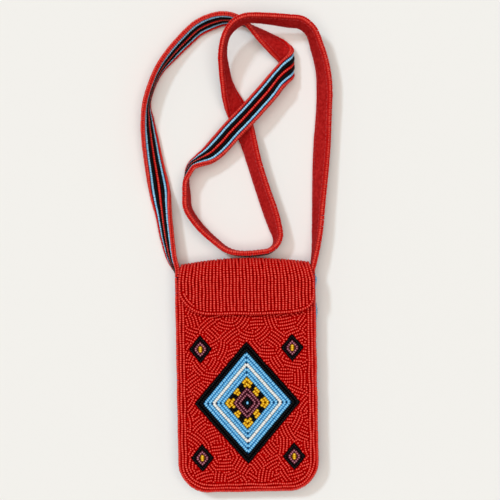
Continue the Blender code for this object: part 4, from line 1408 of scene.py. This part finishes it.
# %% The red ground
PATCH_SPACING, PATCH_ROW_SPACING, PATCH_JITTER, PATCH_END_X = 0.0125, 0.87, 0.0022, 0.057
PATCH_REACH, PATCH_HALF_ROWS, PATCH_BEND, TIGHTEST = 0.0125, 5, (0.016, 0.05), 0.004
ROW_SPACING, ROW_JITTER, ROW_POINTS = 0.00248, 0.001, 40
TURN_TO_NEXT = (0.6, 2.4)
FREE_ENOUGH = 0.13

patches = []
heights = np.arange(POUCH_BOTTOM_Y, FRONT_TOP_Y + PATCH_SPACING, PATCH_SPACING * PATCH_ROW_SPACING)
for row, y in enumerate(heights):
    for x in np.arange(GRID_LOW[0] + (row % 2) * PATCH_SPACING / 2, PATCH_END_X, PATCH_SPACING):
        patches.append((x + rng.normal(0, PATCH_JITTER), y + rng.normal(0, PATCH_JITTER)))
patches = np.array(patches)
ground_beads = []


def sew_row(line, patch):
    """Keep the beads of a row that lie on free cloth in their own patch, and mark them."""
    beads = threaded(at_height(line, FRONT_BEAD_Z), (0, 0, 1))
    places, ways = beads[:, 0, :2], unit(beads[:, 1, :2])
    gaps = np.linalg.norm(places[:, None] - patches[None], axis=2)
    keep = (share_taken(places, ways) <= FREE_ENOUGH) & (gaps.argmin(1) == patch)
    if keep.any():
        take(places[keep], ways[keep])
        ground_beads.append(beads[keep])


last_direction = rng.uniform(0, np.pi)
for patch, middle in enumerate(patches):
    last_direction += rng.uniform(*TURN_TO_NEXT)
    direction = facing(last_direction)
    bend = rng.uniform(*PATCH_BEND)
    offsets = np.arange(-PATCH_HALF_ROWS, PATCH_HALF_ROWS + 1) * ROW_SPACING
    for ring in bend + offsets + rng.uniform(-ROW_JITTER, ROW_JITTER):
        if ring < TIGHTEST:
            continue
        reach = PATCH_REACH / ring
        turn = last_direction + np.linspace(-reach, reach, ROW_POINTS)
        sew_row(middle - direction * bend + ring * facing(turn), patch)
print("ground beads in patches:", sum(map(len, ground_beads)))

# %% [markdown]
# Filling the gaps: try free spots all over the ground, in twelve directions each, take the best
# one where a bead fits, and go on from it bead by bead for as long as the way ahead is free.

# %% Rows grown into the gaps
DIRECTIONS = np.linspace(0, np.pi, 12, endpoint=False)
TURNS = (0.0, 0.2, -0.2, 0.4, -0.4)
FILL_STEP, FILL_FREE, FILL_LONGEST, FILL_ROUNDS = 3, 0.20, 7, 2
GROUND_WIDTH, GROUND_HIGHLIGHT_CONTRAST = 0.95, 1.2


def fits(place, angle):
    """Whether a bead finds enough free cloth at a place."""
    return share_taken(place[None], facing(angle)[None])[0] <= FILL_FREE


def grown(place, angle):
    """A row that goes on from a bead in both directions."""
    found = [(place, angle)]
    take(place[None], facing(angle)[None])
    for sense in (1, -1):
        spot, heading = place, angle
        for _ in range(FILL_LONGEST):
            for turn in TURNS:
                after = spot + sense * facing(heading + turn) * BEAD_PITCH
                if fits(after, heading + turn):
                    break
            else:
                break
            spot, heading = after, heading + turn
            take(spot[None], facing(heading)[None])
            found.append((spot, heading))
    return found


filled = []
for _ in range(FILL_ROUNDS):
    free = np.argwhere(~taken[::FILL_STEP, ::FILL_STEP]) * FILL_STEP
    rng.shuffle(free)
    spots = GRID_LOW + free * CELL
    best = np.stack([share_taken(spots, np.tile(facing(a), (len(spots), 1))) for a in DIRECTIONS], 1)
    for index in np.argsort(best.min(1), kind="stable"):
        if best[index].min() > FILL_FREE:
            break
        angle = DIRECTIONS[best[index].argmin()]
        if fits(spots[index], angle):
            filled += grown(spots[index], angle)
places, angles = (np.array(found) for found in zip(*filled))
ups = np.tile((0.0, 0.0, 1.0), (len(filled), 1))
ground_beads.append(
    np.stack([at_height(places, FRONT_BEAD_Z), at_height(facing(angles), 0.0), ups], 1)
)
print("beads in the gaps:", len(filled), "cloth left free:", round(float((~taken).mean()), 3))
# The ground's painted highlight is narrower, and its painted shade wider, than on the other beads.
ground_painted_light = 1 + (bead_painted_light - 1) * GROUND_HIGHLIGHT_CONTRAST
sewn("front_ground_strands", "red", ground_beads, ["front_beadwork"], GROUND_WIDTH, ground_painted_light)

# %% [markdown]
# ## Cloth and metal that come from the CAD model
#
# The front's canvas and lining, the ribbon inside the striped band, the binding of the mouth and
# the four parts of the magnetic snap are right as they are. They only need their finish: a woven
# cloth, a ribbed ribbon and brushed nickel-plated steel.

# %% Finishes for the CAD parts
STEEL_PALE, STEEL_DARK = linear(214, 212, 206), linear(176, 173, 168)
SNAP_MIDDLE = (0.0, SNAP_Y, 0.0165)
BRUSH_FINENESS = 6000.0

upright_ribbon = plain_weave(
    "red upright ribbon", RIBBON_DEEP, RIBBON_PALE, 0.0008, 0.75, 0.25, axes=(1, 2)
)
binding = plain_weave("red binding tape", RIBBON_DEEP, RIBBON_PALE, 0.0006, 0.7, 0.25)
steel, wire, shader = new_material("plated steel", Metallic=1.0)
from_middle = wire.node("ShaderNodeVectorMath", {"operation": "DISTANCE"}, 1,
                        s0=wire.place(), s1=SNAP_MIDDLE)
brushed = wire.node(
    "ShaderNodeTexNoise", {"noise_dimensions": "1D"}, W=from_middle * BRUSH_FINENESS, Detail=3.0
)
worn = wire.noise(350.0, 3.0)
plug(shader, "Base Color", (worn * 0.8 + 0.1).clamped().mix(STEEL_PALE, STEEL_DARK))
plug(shader, "Roughness", brushed * 0.25 + worn * 0.15 + 0.12)
FINISHES = {
    "front_canvas": canvas, "front_lining": lining, "gusset_ribbon": upright_ribbon,
    "mouth_binding": binding, "snap_socket": steel, "snap_socket_washer": steel,
    "snap_stud": steel, "snap_stud_washer": steel,
}
for name, material in FINISHES.items():
    for slot in bpy.data.objects[name].material_slots:
        slot.material = material
print("finished CAD parts:", len(FINISHES))

# %% Count the pieces and triangles
pieces_made = [thing for thing in bpy.context.scene.objects if thing.type == "MESH"]
triangles = sum(
    len(face.vertices) - 2 for thing in pieces_made if not thing.hide_render
    for face in thing.data.polygons
)
print("pieces", len(pieces_made), "triangles", triangles)
